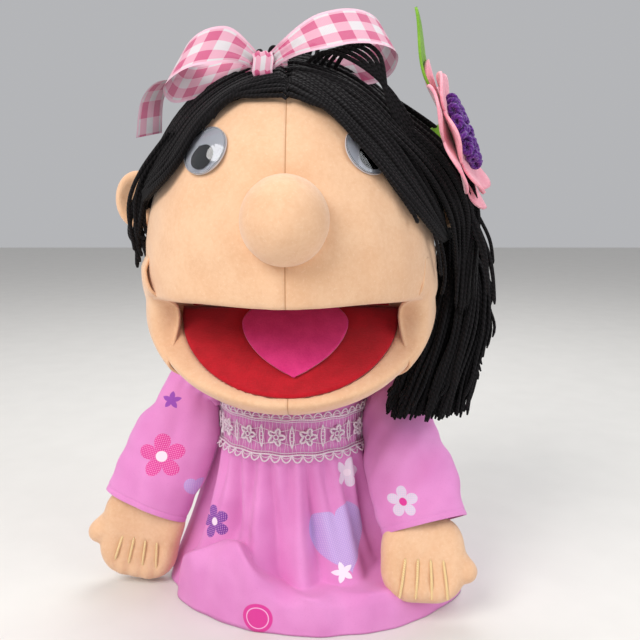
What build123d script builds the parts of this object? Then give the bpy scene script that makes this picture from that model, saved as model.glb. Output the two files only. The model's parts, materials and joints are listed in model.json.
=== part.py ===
from build123d import *

import os
from math import atan2, cos, degrees, radians, sin, sqrt

# Hand puppet: a big-headed girl with a moving mouth, yarn hair, a gathered dress and mitten hands.
# Frame: millimetres, +Z up, the face looks along -Y, +X is the puppet's own left.
# The origin is where the axis of the hand tunnel meets the table.

os.makedirs("parts", exist_ok=True)

# ---- Driving dimensions ------------------------------------------------------------------------
FELT = 1.6  # felt sheet
FLEECE = 2.0  # peach fleece cover
COTTON = 2.0  # dress cotton with its seam allowance, as one layer
CARD = 2.4  # stiff board inside each half of the mouth
GAP = 0.3  # air left between neighbours that move

TUNNEL_R = 38.5  # inside of the sleeve that the hand goes through
TUNNEL_TOP = 137
NECK_Z = 150  # height that the head nods, tilts and turns about
NECK_SLEEVE_R, NECK_SLEEVE_WALL = 39.5, 1.4  # inside and wall of the neck's own sleeve
ELASTIC_R, ELASTIC_WALL, ELASTIC_HALF_DEPTH = 42.2, 0.7, 1.2
NECK_R = 43.2  # inside of the neck cover
NECK_LOW, NECK_HIGH = 145.5, 206

HEAD_Y = -39  # axis of the round head
HEAD_R = 90
HEAD_WIDEST_Z = 222
HEAD_RISE = 120  # widest level to crown
HEAD_DROP = 61  # widest level to underside
CROWN_R, UNDERSIDE_R = 78, 128  # roundness at the crown and underneath
HEAD_BOTTOM = 166  # the underside is cut level here
ROOM_R, ROOM_TOP = 40, 262  # the room for the hand inside the head
THUMB_WAY_Y, THUMB_WAY_LOW, THUMB_WAY_HIGH = -20, 156, 206
MOUTH_BACK_Y = -41  # the head cover ends here, behind the mouth
FAR = 160  # well outside the head, for cuts

HINGE_Y, HINGE_Z = -49, 203.5
PALATE_TILT = 5  # upper half of the mouth rises towards the lip
JAW_DROP = 36  # lower half falls towards the lip, at rest
JAW_R, JAW_DEPTH, JAW_BOTTOM_R = 89, 38, 219
MOUTH_HALF_WIDTH, MOUTH_DEPTH = 67, 72
LINING_OFF = 2.5  # felt lining's distance from the hinge axis, above and below
BOARD_OFF = LINING_OFF + FELT
INSIDE_OFF = BOARD_OFF + CARD  # where the pockets start

POCKET_HALF_WIDTH, POCKET_LENGTH, POCKET_HEIGHT = 41, 54, 24
THUMB_HALF_WIDTH, THUMB_LENGTH, THUMB_HEIGHT = 17, 40, 20

EYE_X, EYE_Z, EYE_R = 43, 292.5, 14
EYE_BACK, EYE_WALL, EYE_BULGE, DOME_R = 1.0, 0.8, 4.6, 28
PUPIL_R, PUPIL_OFF, PUPIL_THICK = 7.2, 4.2, 0.7
NOSE_R, NOSE_Z = 23, 257
EAR_X, EAR_Y, EAR_Z = 95, -38, 266

HAIR = 8  # yarn thickness over the scalp
HAIRLINE = 110.4  # distance of the tilted hairline plane from the origin
FRINGE = 26  # how far back the fringe yarn reaches
NAPE_Z = 186  # where the back hair ends
RIBBON_WIDTH, RIBBON = 25, 0.8

BODICE_LOW, BODICE_HIGH = 104, 152
BODICE_R_LOW, BODICE_R_HIGH = 50, 49.5
LACE_LOW, LACE_HIGH = 105, 133
SHOULDER_X, SHOULDER_Y, SHOULDER_Z = 62, -3, 147
BINDING_R, BINDING_WALL, BINDING_DEPTH = 7, 3, 3
# Each row of an arm is distance from the shoulder, half width, half thickness; the last is the cuff.
ARM_ROWS = ((3, 8.5, 8), (14, 14, 12), (32, 22, 16), (64, 29, 17.5))
CUFF_HALF_WIDTH, CUFF_HALF_THICK = 26, 15
HAND_WIDTH, HAND_HALF_THICK, HAND_TOP, THUMB_R = 54, 9.5, 3.5, 8

HINGE = Axis((0, HINGE_Y, HINGE_Z), (1, 0, 0))
HEAD_AXIS = Axis((0, HEAD_Y, 0), (0, 0, 1))
HAIRLINE_NORMAL = Vector(0, 0.824, 0.566)
SIDES = (("right", -1), ("left", 1))  # the puppet's own sides

palate_plane = Plane(
    origin=(0, HINGE_Y, HINGE_Z),
    x_dir=(1, 0, 0),
    z_dir=(0, sin(radians(PALATE_TILT)), cos(radians(PALATE_TILT))),
)
jaw_plane = Plane(
    origin=(0, HINGE_Y, HINGE_Z),
    x_dir=(1, 0, 0),
    z_dir=(0, -sin(radians(JAW_DROP)), cos(radians(JAW_DROP))),
)


# ---- Helpers -----------------------------------------------------------------------------------
def finish(part, label):
    """Labels a finished piece and writes it as one STEP file."""
    part.label = label
    export_step(part, f"parts/{label}.step")


def side_of(sign, cut=0.0):
    """A big block that holds everything on one side of the centre seam."""
    with BuildPart() as block:
        with Locations((sign * cut, 0, 200)):
            Box(300, 600, 600, align=(Align.MAX if sign < 0 else Align.MIN, Align.CENTER, Align.CENTER))
    return block.part


class Oval:
    """A quarter oval of two tangent arcs: a wide arc at the side and a round arc at the pole.

    Its axis is the head's, its widest level is z, and way is +1 for a quarter that rises, -1 for one
    that falls.
    """

    def __init__(self, z, wide, tall, pole_radius, way):
        self.z, self.wide, self.way = z, wide, way
        self.pole_radius = pole_radius
        self.pole_off = tall - pole_radius
        self.side_radius = (wide**2 + tall**2 - 2 * tall * pole_radius) / (2 * (wide - pole_radius))
        self.side_off = wide - self.side_radius
        self.turn = degrees(atan2(self.pole_off, -self.side_off)) % 180

    def arcs(self, grow):
        """Both arcs, grown by grow, in the side view of the head; ends run from the side to the pole."""
        way = self.way
        pole = (0, self.z + way * self.pole_off)
        CenterArc((self.side_off, self.z), self.side_radius + grow, 0, way * self.turn)
        CenterArc(pole, self.pole_radius + grow, way * self.turn, way * (90 - self.turn))

    def tall(self, grow):
        """Height of the pole from the widest level."""
        return self.pole_off + self.pole_radius + grow


head_top = Oval(HEAD_WIDEST_Z, HEAD_R, HEAD_RISE, CROWN_R, 1)
head_low = Oval(HEAD_WIDEST_Z, HEAD_R, HEAD_DROP, UNDERSIDE_R, -1)
jaw_bowl = Oval(HINGE_Z - LINING_OFF, JAW_R, JAW_DEPTH, JAW_BOTTOM_R, -1)


def head_round(grow=0.0):
    """The whole round head, larger by grow all round."""
    with BuildPart() as ball:
        with BuildSketch(Plane.XZ.offset(-HEAD_Y)):
            with BuildLine():
                head_top.arcs(grow)
                head_low.arcs(grow)
                Line((0, HEAD_WIDEST_Z + head_top.tall(grow)), (0, HEAD_WIDEST_Z - head_low.tall(grow)))
            make_face()
        revolve(axis=HEAD_AXIS)
    return ball.part


def head_radius(z):
    """Radius of the head about its own axis, on the wide arc of its upper half."""
    return head_top.side_off + sqrt(head_top.side_radius**2 - (z - HEAD_WIDEST_Z) ** 2)


def head_form(inset):
    """The upper head, inset all round: the round head less the mouth and what is under the neckline."""
    ball = head_round(-inset)
    palate_rise = (FAR + HINGE_Y) * sin(radians(PALATE_TILT))
    palate_z = HINGE_Z + LINING_OFF + inset
    with BuildPart() as form:
        add(ball)
        with BuildSketch(Plane.YZ):
            with BuildLine():
                Polyline(
                    (HINGE_Y + 4 + inset, palate_z),
                    (-FAR, palate_z + palate_rise),
                    (-FAR, 100),
                    (MOUTH_BACK_Y + inset, 100),
                    (MOUTH_BACK_Y + inset, HEAD_BOTTOM),
                    close=True,
                )
            make_face()
        extrude(amount=120, both=True, mode=Mode.SUBTRACT)
        with Locations((0, HEAD_Y, HEAD_BOTTOM + inset)):
            Box(260, 260, 100, align=(Align.CENTER, Align.CENTER, Align.MAX), mode=Mode.SUBTRACT)
    return form.part


def jaw_form(inset):
    """The lower jaw, inset all round: a shallow bowl, built shut and then dropped to its rest."""
    top = HINGE_Z - LINING_OFF
    with BuildPart() as form:
        with BuildSketch(Plane.XZ.offset(-HEAD_Y)):
            with BuildLine():
                jaw_bowl.arcs(-inset)
                Polyline((JAW_R - inset, top), (0, top), (0, top - jaw_bowl.tall(-inset)))
            make_face()
        revolve(axis=HEAD_AXIS)
        with BuildSketch(Plane.YZ):
            with BuildLine():
                Polyline(
                    (HINGE_Y - 3 - inset, top - inset),
                    (-FAR, top - inset),
                    (-FAR, 140),
                    (-87 - inset, 140),
                    (-87 - inset, 160 + inset),
                    (HINGE_Y - 3 - inset, top - 3.5),
                    close=True,
                )
            make_face()
        extrude(amount=120, both=True, mode=Mode.INTERSECT)
    return form.part.rotate(HINGE, JAW_DROP)


def mouth_sheet(plane, low, thickness, inset=0.0):
    """A D-shaped sheet in one half of the mouth: straight along the hinge, round at the lip."""
    with BuildPart() as sheet:
        with BuildSketch(plane.offset(low)):
            Ellipse(MOUTH_HALF_WIDTH - inset, MOUTH_DEPTH - inset)
            with Locations((0, -1.5)):
                Rectangle(200, 200, align=(Align.CENTER, Align.MAX), mode=Mode.INTERSECT)
        extrude(amount=thickness)
    return sheet.part


def tapered(plane, stations):
    """A soft limb: ellipses (distance along the plane's normal, half width, half thickness)."""
    with BuildPart() as limb:
        for distance, half_width, half_thickness in stations:
            with BuildSketch(plane.offset(distance)):
                Ellipse(half_width, half_thickness)
        loft()
    return limb.part


def tube(inner, outer, low, high):
    """An upright tube about the hand tunnel's axis."""
    with BuildPart() as ring:
        with BuildSketch(Plane.XY.offset(low)):
            Circle(outer)
            Circle(inner, mode=Mode.SUBTRACT)
        extrude(amount=high - low)
    return ring.part


def rod(radius, low, high):
    """An upright solid cylinder about the hand tunnel's axis."""
    with BuildPart() as cylinder:
        with BuildSketch(Plane.XY.offset(low)):
            Circle(radius)
        extrude(amount=high - low)
    return cylinder.part


# ---- Torso: the hand sleeve and the dress ------------------------------------------------------
finish(tube(TUNNEL_R, TUNNEL_R + FLEECE, 0, TUNNEL_TOP), "hand_sleeve")

# Bodice: a slightly tapered tube with a neckline cut lower in front.
with BuildPart() as bodice:
    with BuildSketch(Plane.XZ):
        with BuildLine():
            Polyline(
                (BODICE_R_LOW, BODICE_LOW),
                (BODICE_R_HIGH, BODICE_HIGH),
                (BODICE_R_HIGH - COTTON, BODICE_HIGH),
                (BODICE_R_LOW - COTTON, BODICE_LOW),
                close=True,
            )
        make_face()
    revolve(axis=Axis.Z)
    with BuildSketch(Plane.YZ):
        with BuildLine():
            Polyline((-60, 135), (-34, 137), (-13, 151), (60, 151), (60, 190), (-60, 190), close=True)
        make_face()
    extrude(amount=80, both=True, mode=Mode.SUBTRACT)
finish(bodice.part, "dress_bodice")

# Skirt: gathered to the bodice, spreading to an oval hem that leans forward and to the left.
# Each row is height, centre x, centre y, half width, half depth.
SKIRT_ROWS = (
    (BODICE_LOW, 0, 0, BODICE_R_LOW, BODICE_R_LOW),
    (70, 3, -2, 58, 54),
    (34, 10, -5, 78, 64),
    (0, 16, -8, 103, 81),
)


def skirt_form(inset):
    """The skirt as one closed form, inset all round."""
    with BuildPart() as form:
        for z, x, y, half_width, half_depth in SKIRT_ROWS:
            with BuildSketch(Plane.XY.offset(z)):
                with Locations((x, y)):
                    Ellipse(half_width - inset, half_depth - inset)
        loft()
    return form.part


skirt_inside = skirt_form(COTTON)
with BuildPart() as skirt:
    add(skirt_form(0))
    add(skirt_inside, mode=Mode.SUBTRACT)
finish(skirt.part, "dress_skirt")

# Lace trim: a band round the bodice, over the gathers.
with BuildPart() as lace:
    with BuildSketch(Plane.XZ):
        with BuildLine():
            low_r, high_r = BODICE_R_LOW + 0.3, BODICE_R_LOW - 0.3
            Polyline(
                (low_r, LACE_LOW), (high_r, LACE_HIGH), (high_r + 1, LACE_HIGH), (low_r + 1, LACE_LOW),
                close=True,
            )
        make_face()
    revolve(axis=Axis.Z)
finish(lace.part, "lace_trim")

# ---- Neck: three nested pieces that turn, nod and tilt about one point ----------------------------
neck_sleeve = tube(NECK_SLEEVE_R, NECK_SLEEVE_R + NECK_SLEEVE_WALL, TUNNEL_TOP + 0.5, NECK_Z - 1)
finish(neck_sleeve, "neck_sleeve")
elastic_low, elastic_high = NECK_Z - ELASTIC_HALF_DEPTH, NECK_Z + ELASTIC_HALF_DEPTH
finish(tube(ELASTIC_R, ELASTIC_R + ELASTIC_WALL, elastic_low, elastic_high), "neck_elastic")

# The thumb's way from the tunnel into the jaw.
with BuildPart() as thumb_way:
    with BuildSketch(Plane.XY.offset(THUMB_WAY_LOW)):
        with Locations((0, THUMB_WAY_Y)):
            Rectangle(2 * THUMB_HALF_WIDTH + 8, 60, align=(Align.CENTER, Align.MAX))
    extrude(amount=THUMB_WAY_HIGH - THUMB_WAY_LOW)

head_outer = head_form(0)
head_core = head_form(FLEECE)
neck_tube = tube(NECK_R, NECK_R + FLEECE, NECK_LOW, NECK_HIGH)
with BuildPart() as neck_cover:
    add(neck_tube)
    add(head_core, mode=Mode.SUBTRACT)
    add(thumb_way.part, mode=Mode.SUBTRACT)
finish(neck_cover.part, "neck_cover")

# ---- Head --------------------------------------------------------------------------------------
# The room for the hand: a shaft up from the neck, and a forward chamber over the palate.
with BuildPart() as hand_room:
    add(rod(ROOM_R, HEAD_BOTTOM - 10, ROOM_TOP))
    with BuildSketch(palate_plane.offset(INSIDE_OFF)):
        with Locations((0, 25)):
            Rectangle(2 * POCKET_HALF_WIDTH + 4, POCKET_LENGTH + 26, align=(Align.CENTER, Align.MAX))
    extrude(amount=POCKET_HEIGHT + 2)

palate_space = mouth_sheet(palate_plane, -20, INSIDE_OFF + 20, -0.2)
with BuildPart() as head_stuffing:
    add(head_core)
    add(hand_room.part, mode=Mode.SUBTRACT)
    add(palate_space, mode=Mode.SUBTRACT)
    add(thumb_way.part, mode=Mode.SUBTRACT)
finish(head_stuffing.part, "head_stuffing")

neck_hole = rod(NECK_R + FLEECE, HEAD_BOTTOM - 10, NECK_HIGH)
with BuildPart() as head_cover:
    add(head_outer)
    add(head_core, mode=Mode.SUBTRACT)
    add(palate_space, mode=Mode.SUBTRACT)
    add(neck_hole, mode=Mode.SUBTRACT)
    add(thumb_way.part, mode=Mode.SUBTRACT)
for side, sign in SIDES:
    with BuildPart() as half:
        add(head_cover.part)
        add(side_of(sign), mode=Mode.INTERSECT)
    finish(half.part, f"head_cover_{side}")

finish(mouth_sheet(palate_plane, LINING_OFF, FELT), "upper_mouth_lining")
finish(mouth_sheet(palate_plane, BOARD_OFF, CARD, 1.0), "upper_mouth_board")

with BuildPart() as finger_pocket:
    with BuildSketch(palate_plane.offset(INSIDE_OFF)):
        Rectangle(2 * POCKET_HALF_WIDTH, POCKET_LENGTH, align=(Align.CENTER, Align.MAX))
    extrude(amount=POCKET_HEIGHT)
    with BuildSketch(palate_plane.offset(INSIDE_OFF + FELT)):
        with Locations((0, 6)):
            Rectangle(
                2 * (POCKET_HALF_WIDTH - FELT), POCKET_LENGTH + 6 - FELT, align=(Align.CENTER, Align.MAX)
            )
    extrude(amount=POCKET_HEIGHT - 2 * FELT, mode=Mode.SUBTRACT)
finish(finger_pocket.part, "finger_pocket")

# The fold of red felt at the back of the mouth, round the hinge line.
with BuildPart() as mouth_fold:
    with BuildSketch(Plane.YZ.offset(6 - MOUTH_HALF_WIDTH)):
        with Locations((HINGE_Y, HINGE_Z)):
            Circle(2.2)
            Circle(0.8, mode=Mode.SUBTRACT)
        with Locations((HINGE_Y - 5, HINGE_Z)):
            Rectangle(10, 6, mode=Mode.SUBTRACT)
    extrude(amount=2 * MOUTH_HALF_WIDTH - 12)
finish(mouth_fold.part, "mouth_fold")

whole_head = head_round()
nose_at = (0, HEAD_Y - head_radius(NOSE_Z) - 4, NOSE_Z)
with BuildPart() as nose_cover:
    with Locations(nose_at):
        Sphere(NOSE_R)
        Sphere(NOSE_R - FLEECE, mode=Mode.SUBTRACT)
    add(whole_head, mode=Mode.SUBTRACT)
finish(nose_cover.part, "nose_cover")
with BuildPart() as nose_stuffing:
    with Locations(nose_at):
        Sphere(NOSE_R - FLEECE)
    add(whole_head, mode=Mode.SUBTRACT)
finish(nose_stuffing.part, "nose_stuffing")

# Ears: flattened pads sewn to the sides.
ears = {}
for side, sign in SIDES:
    with BuildPart() as ear:
        with BuildSketch(Plane.XZ.offset(-EAR_Y)):
            with Locations((sign * EAR_X, EAR_Z)):
                Ellipse(14, 18)
        extrude(amount=5, both=True)
        fillet(ear.edges(), 3.5)
        add(whole_head, mode=Mode.SUBTRACT)
    ears[side] = ear.part
    finish(ear.part, f"{side}_ear")


# Eyes: a white back plate, a loose black pupil and a clear domed cover.
def face_plane(x, z, lift):
    """A plane that touches the face at x and z, raised by lift, with its x direction downhill."""
    radius = head_radius(z)
    depth = sqrt(radius**2 - x**2)
    reach = radius - head_top.side_off
    normal = Vector(x / radius * reach, -depth / radius * reach, z - HEAD_WIDEST_Z).normalized()
    down = Vector(0, 0, -1) + normal * normal.Z
    return Plane(origin=Vector(x, HEAD_Y - depth, z) + normal * lift, x_dir=down, z_dir=normal)


def dome_inside(eye):
    """The room under the domed cover, where the pupil is loose."""
    with BuildPart() as room:
        with BuildSketch(eye.offset(EYE_BACK)):
            Circle(EYE_R - EYE_WALL)
        extrude(amount=EYE_BULGE)
        with Locations(Location(eye.offset(EYE_BACK + EYE_BULGE - DOME_R))):
            Sphere(DOME_R - EYE_WALL, mode=Mode.INTERSECT)
    return room.part


for side, sign in SIDES:
    eye = face_plane(sign * EYE_X, EYE_Z, 0.1)
    with BuildPart() as eye_back:
        with BuildSketch(eye):
            Circle(EYE_R)
        extrude(amount=EYE_BACK)
    finish(eye_back.part, f"{side}_eye_back")
    with BuildPart() as pupil:
        with BuildSketch(eye.offset(EYE_BACK + GAP)):
            with Locations((PUPIL_OFF, 0)):
                Circle(PUPIL_R)
        extrude(amount=PUPIL_THICK)
    finish(pupil.part, f"{side}_pupil")
    with BuildPart() as dome:
        with BuildSketch(eye.offset(EYE_BACK + 0.02)):
            Circle(EYE_R)
        extrude(amount=EYE_BULGE)
        with Locations(Location(eye.offset(EYE_BACK + EYE_BULGE - DOME_R))):
            Sphere(DOME_R, mode=Mode.INTERSECT)
        add(dome_inside(eye), mode=Mode.SUBTRACT)
    finish(dome.part, f"{side}_eye_dome")


# ---- Hair --------------------------------------------------------------------------------------
def scalp_shell(inner, outer, start, stop):
    """Yarn over the scalp, between two planes parallel to the hairline and above the nape."""
    outside, inside = head_round(outer), head_round(inner)
    hairline = Plane(
        origin=HAIRLINE_NORMAL * (HAIRLINE + start), x_dir=(1, 0, 0), z_dir=HAIRLINE_NORMAL
    )
    with BuildPart() as shell:
        add(outside)
        add(inside, mode=Mode.SUBTRACT)
        with BuildSketch(hairline):
            Rectangle(900, 900)
        extrude(amount=stop - start, mode=Mode.INTERSECT)
        with Locations((0, 0, NAPE_Z)):
            Box(400, 400, 200, align=(Align.CENTER, Align.CENTER, Align.MAX), mode=Mode.SUBTRACT)
        add(neck_hole, mode=Mode.SUBTRACT)
        for ear_part in ears.values():
            add(ear_part, mode=Mode.SUBTRACT)
    return shell.part


finish(scalp_shell(GAP, GAP + FELT, FRINGE, 400), "wig_cap")
finish(scalp_shell(GAP + FELT, HAIR, FRINGE, 400), "hair_back")
fringe_whole = scalp_shell(GAP, HAIR, 0, FRINGE - 0.05)
for side, sign in SIDES:
    with BuildPart() as fringe:
        add(fringe_whole)
        add(side_of(sign, 0.05), mode=Mode.INTERSECT)
    finish(fringe.part, f"fringe_{side}")

hairy_head = head_round(HAIR + 0.2)

# Topknot: a tuft of yarn loops behind the bow.
with BuildPart() as topknot:
    with BuildSketch(Plane.XY.offset(325)):
        with Locations((-8, -36)):
            Ellipse(22, 15)
    extrude(amount=38)
    fillet(topknot.faces().sort_by(Axis.Z)[-1].edges(), 8)
    add(hairy_head, mode=Mode.SUBTRACT)
finish(topknot.part, "topknot")

# Loose strands in front of the right ear.
with BuildPart() as loose_lock:
    with BuildLine():
        route = FilletPolyline((-80, -62, 290), (-92, -58, 266), (-95, -54, 236), radius=40)
    with BuildSketch(Plane(origin=route @ 0, z_dir=route % 0)):
        Ellipse(4, 5)
    sweep()
    add(hairy_head, mode=Mode.SUBTRACT)
finish(loose_lock.part, "loose_lock")

# Side ponytail on the left: the gathered root, its tie, and the hanging bunch.
TIE = Vector(106, -22, 246)
with BuildPart() as ponytail_root:
    with BuildSketch(Plane(origin=(93, -24, 276), x_dir=(1, 0, 0), z_dir=(0, -1, 0))):
        Ellipse(17, 28)
        Rectangle(40, 80, align=(Align.MIN, Align.CENTER), mode=Mode.INTERSECT)
    revolve(axis=Axis((93, -24, 276), (0, 0, 1)))
    with Locations((100, -24, TIE.Z + 4)):
        Box(80, 80, 60, align=(Align.CENTER, Align.CENTER, Align.MAX), mode=Mode.SUBTRACT)
    add(hairy_head, mode=Mode.SUBTRACT)
    add(ears["left"], mode=Mode.SUBTRACT)
finish(ponytail_root.part, "ponytail_root")

# Each row is height, centre x, centre y, half width, half depth.
PONYTAIL_ROWS = (
    (TIE.Z, TIE.X, TIE.Y, 9, 9),
    (220, 110, -26, 13, 12),
    (185, 109, -30, 18, 13),
    (148, 103, -32, 23, 12),
)
with BuildPart() as ponytail:
    for z, x, y, half_width, half_depth in PONYTAIL_ROWS:
        with BuildSketch(Plane.XY.offset(z)):
            with Locations((x, y)):
                Ellipse(half_width, half_depth)
    loft()
finish(ponytail.part, "ponytail")

with BuildPart() as ponytail_tie:
    with BuildSketch(Plane.XY.offset(TIE.Z + GAP)):
        with Locations((TIE.X, TIE.Y)):
            Circle(10)
            Circle(7, mode=Mode.SUBTRACT)
    extrude(amount=3)
finish(ponytail_tie.part, "ponytail_tie")

# ---- Bow ---------------------------------------------------------------------------------------
# Each loop: side, centre, half length, direction, half opening.
BOW_LOOPS = (
    ("right", (-51, -72, 346), 32, (-0.97, 0, -0.22), 15),
    ("left", (33, -72, 357), 38, (0.99, 0.05, 0.12), 16),
)
for side, centre, half_length, direction, half_opening in BOW_LOOPS:
    loop_plane = Plane(origin=centre, x_dir=direction, z_dir=(0, 0.2, 0.98))
    with BuildPart() as loop:
        with BuildSketch(loop_plane.offset(-RIBBON_WIDTH / 2)):
            Ellipse(half_length, half_opening)
            Ellipse(half_length - RIBBON, half_opening - RIBBON, mode=Mode.SUBTRACT)
        extrude(amount=RIBBON_WIDTH)
        add(hairy_head, mode=Mode.SUBTRACT)
    finish(loop.part, f"bow_{side}_loop")

with BuildPart() as bow_knot:
    with Locations(Location((-12, -76, 349), (-10, 0, 0))):
        Box(11, 12, 17)
    fillet(bow_knot.edges(), 3)
    add(hairy_head, mode=Mode.SUBTRACT)
finish(bow_knot.part, "bow_knot")

with BuildPart() as bow_tail:
    with BuildSketch(Plane(origin=(-92, -60, 322), x_dir=(0.25, 0, 0.97), z_dir=(0.9, -0.35, -0.2))):
        Rectangle(42, RIBBON_WIDTH - 5)
    extrude(amount=RIBBON)
finish(bow_tail.part, "bow_tail")

# ---- Flower ------------------------------------------------------------------------------------
PETALS, PETAL_R, PETAL_OUT = 6, 18, 29
flower_plane = Plane(origin=(104, -46, 303), x_dir=(-0.4, 0, 0.92), z_dir=(0.88, -0.28, 0.38))
for name, low, turn, size in (("back", 0, 0, 1.0), ("front", FELT + 0.05, 30, 0.86)):
    with BuildPart() as petals:
        with BuildSketch(flower_plane.offset(low)):
            Circle(28 * size)
            with PolarLocations(PETAL_OUT * size, PETALS, start_angle=turn):
                Circle(PETAL_R * size)
        extrude(amount=FELT)
    finish(petals.part, f"flower_petals_{name}")

with BuildPart() as flower_centre:
    with BuildSketch(flower_plane.offset(2 * FELT + 0.1)):
        Circle(22)
    extrude(amount=8)
    top_face = flower_centre.faces().sort_by(Axis(flower_plane.origin, flower_plane.z_dir))[-1]
    fillet(top_face.edges(), 4)
finish(flower_centre.part, "flower_centre")

with BuildPart() as flower_leaf:
    with BuildSketch(flower_plane.offset(-FELT - 0.05)):
        with BuildLine():
            ThreePointArc((-18, 0), (30, 14), (76, 4))
            ThreePointArc((76, 4), (32, -12), (-18, 0))
        make_face()
    extrude(amount=FELT)
    add(hairy_head, mode=Mode.SUBTRACT)
finish(flower_leaf.part, "flower_leaf")

with BuildPart() as flower_pad:
    with BuildSketch(flower_plane.offset(-FELT - 0.1)):
        Circle(12)
    extrude(amount=-34)
    add(hairy_head, mode=Mode.SUBTRACT)
    add(ponytail_root.part, mode=Mode.SUBTRACT)
finish(flower_pad.part, "flower_pad")

# ---- Jaw ---------------------------------------------------------------------------------------
jaw_core = jaw_form(FLEECE)
with BuildPart() as thumb_room:
    with BuildSketch(jaw_plane.offset(-INSIDE_OFF - THUMB_HEIGHT - 1)):
        with Locations((0, 12)):
            Rectangle(2 * THUMB_HALF_WIDTH + 2, THUMB_LENGTH + 21, align=(Align.CENTER, Align.MAX))
    extrude(amount=THUMB_HEIGHT + 1)

jaw_space = mouth_sheet(jaw_plane, -INSIDE_OFF, INSIDE_OFF + 20, -0.2)
with BuildPart() as jaw_stuffing:
    add(jaw_core)
    add(thumb_room.part, mode=Mode.SUBTRACT)
    add(jaw_space, mode=Mode.SUBTRACT)
finish(jaw_stuffing.part, "jaw_stuffing")

with BuildPart() as jaw_cover:
    add(jaw_form(0))
    add(jaw_core, mode=Mode.SUBTRACT)
    add(jaw_space, mode=Mode.SUBTRACT)
    add(thumb_room.part, mode=Mode.SUBTRACT)
for side, sign in SIDES:
    with BuildPart() as half:
        add(jaw_cover.part)
        add(side_of(sign), mode=Mode.INTERSECT)
    finish(half.part, f"jaw_cover_{side}")

finish(mouth_sheet(jaw_plane, -BOARD_OFF, FELT), "lower_mouth_lining")
finish(mouth_sheet(jaw_plane, -INSIDE_OFF, CARD, 1.0), "lower_mouth_board")

with BuildPart() as tongue:
    with BuildSketch(jaw_plane.offset(-LINING_OFF)):
        with BuildLine():
            Line((-26, -4), (26, -4))
            ThreePointArc((26, -4), (32, -18), (24, -38))
            ThreePointArc((24, -38), (12, -51), (0, -60))
            ThreePointArc((0, -60), (-12, -51), (-24, -38))
            ThreePointArc((-24, -38), (-32, -18), (-26, -4))
        make_face()
    extrude(amount=FELT)
finish(tongue.part, "tongue")

with BuildPart() as thumb_pocket:
    with BuildSketch(jaw_plane.offset(-INSIDE_OFF - THUMB_HEIGHT)):
        with Locations((0, -8)):
            Rectangle(2 * THUMB_HALF_WIDTH, THUMB_LENGTH, align=(Align.CENTER, Align.MAX))
    extrude(amount=THUMB_HEIGHT)
    with BuildSketch(jaw_plane.offset(-INSIDE_OFF - THUMB_HEIGHT + FELT)):
        Rectangle(
            2 * (THUMB_HALF_WIDTH - FELT), THUMB_LENGTH + 8 - FELT, align=(Align.CENTER, Align.MAX)
        )
    extrude(amount=THUMB_HEIGHT - 2 * FELT, mode=Mode.SUBTRACT)
finish(thumb_pocket.part, "thumb_pocket")

# ---- Arms --------------------------------------------------------------------------------------
# Each row: side, which way is outward, middle of the cuff, fingertips.
ARMS = (
    ("right", -1, Vector(-101, -22, 60), Vector(-113, -20, 4)),
    ("left", 1, Vector(85, -53, 60), Vector(83, -76, 15)),
)
for side, sign, cuff, tips in ARMS:
    shoulder = Vector(sign * SHOULDER_X, SHOULDER_Y, SHOULDER_Z)
    along = (cuff - shoulder).normalized()
    arm = Plane(origin=shoulder, x_dir=Vector(0, 1, 0).cross(along), z_dir=along)
    arm_rows = (*ARM_ROWS, ((cuff - shoulder).length, CUFF_HALF_WIDTH, CUFF_HALF_THICK))
    stuffing = tapered(arm, [(d, wide - COTTON, thick - COTTON) for d, wide, thick in arm_rows])
    finish(stuffing, f"{side}_arm_stuffing")
    with BuildPart() as sleeve:
        add(tapered(arm, arm_rows))
        add(stuffing, mode=Mode.SUBTRACT)
    finish(sleeve.part, f"{side}_sleeve")

    # The binding of the armhole, between bodice and sleeve.
    armhole = (sign * (BODICE_R_LOW + 0.2), SHOULDER_Y, SHOULDER_Z)
    with BuildPart() as binding:
        with BuildSketch(Plane(origin=armhole, x_dir=(0, 1, 0), z_dir=(sign, 0, 0))):
            Circle(BINDING_R)
            Circle(BINDING_R - BINDING_WALL, mode=Mode.SUBTRACT)
        extrude(amount=BINDING_DEPTH)
    finish(binding.part, f"{side}_armhole_binding")

    # Mitten hand with a thumb on its outer side and four stitched finger lines.
    down = (tips - cuff).normalized()
    length = (tips - cuff).length
    outward = Vector(0, 1, 0).cross(down) * -sign
    palm = Plane(origin=cuff, x_dir=outward, z_dir=outward.cross(-down))
    front = palm.z_dir if palm.z_dir.Y < 0 else -palm.z_dir
    with BuildPart() as hand:
        with BuildSketch(palm):
            with Locations((0, -HAND_TOP)):
                RectangleRounded(HAND_WIDTH, length - HAND_TOP, 20, align=(Align.CENTER, Align.MAX))
        extrude(amount=HAND_HALF_THICK, both=True)
        fillet(hand.edges(), HAND_HALF_THICK - 1)
        thumb = Plane(origin=cuff + outward * 14 + down * 18, z_dir=(outward * 0.8 + down * 0.6))
        with BuildSketch(thumb):
            Circle(THUMB_R)
        extrude(amount=19)
        with Locations(thumb.offset(19).origin):
            Sphere(THUMB_R)
    finish(hand.part, f"{side}_hand")
    with BuildPart() as stitches:
        for offset_x in (-14, -5, 4, 13):
            start = cuff + outward * offset_x + down * 27 + front * (HAND_HALF_THICK + 0.8)
            with BuildSketch(Plane(origin=start, z_dir=down)):
                Circle(0.7)
            extrude(amount=18)
    finish(stitches.part, f"{side}_finger_stitches")
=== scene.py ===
"""The looks of a hand puppet: a girl with a round fleece head, yarn hair, a bow, a felt flower and a dress.

All lengths in this script are millimetres in the CAD frame, and meshes are scaled to metres when they are
made. +Z is up, the face looks along -Y, and "left" is the puppet's own left, +X. Angles round an upright axis
run from the front, -Y, to the left.
"""

import json
from math import atan2, cos, pi, radians, sin, sqrt, tau

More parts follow.
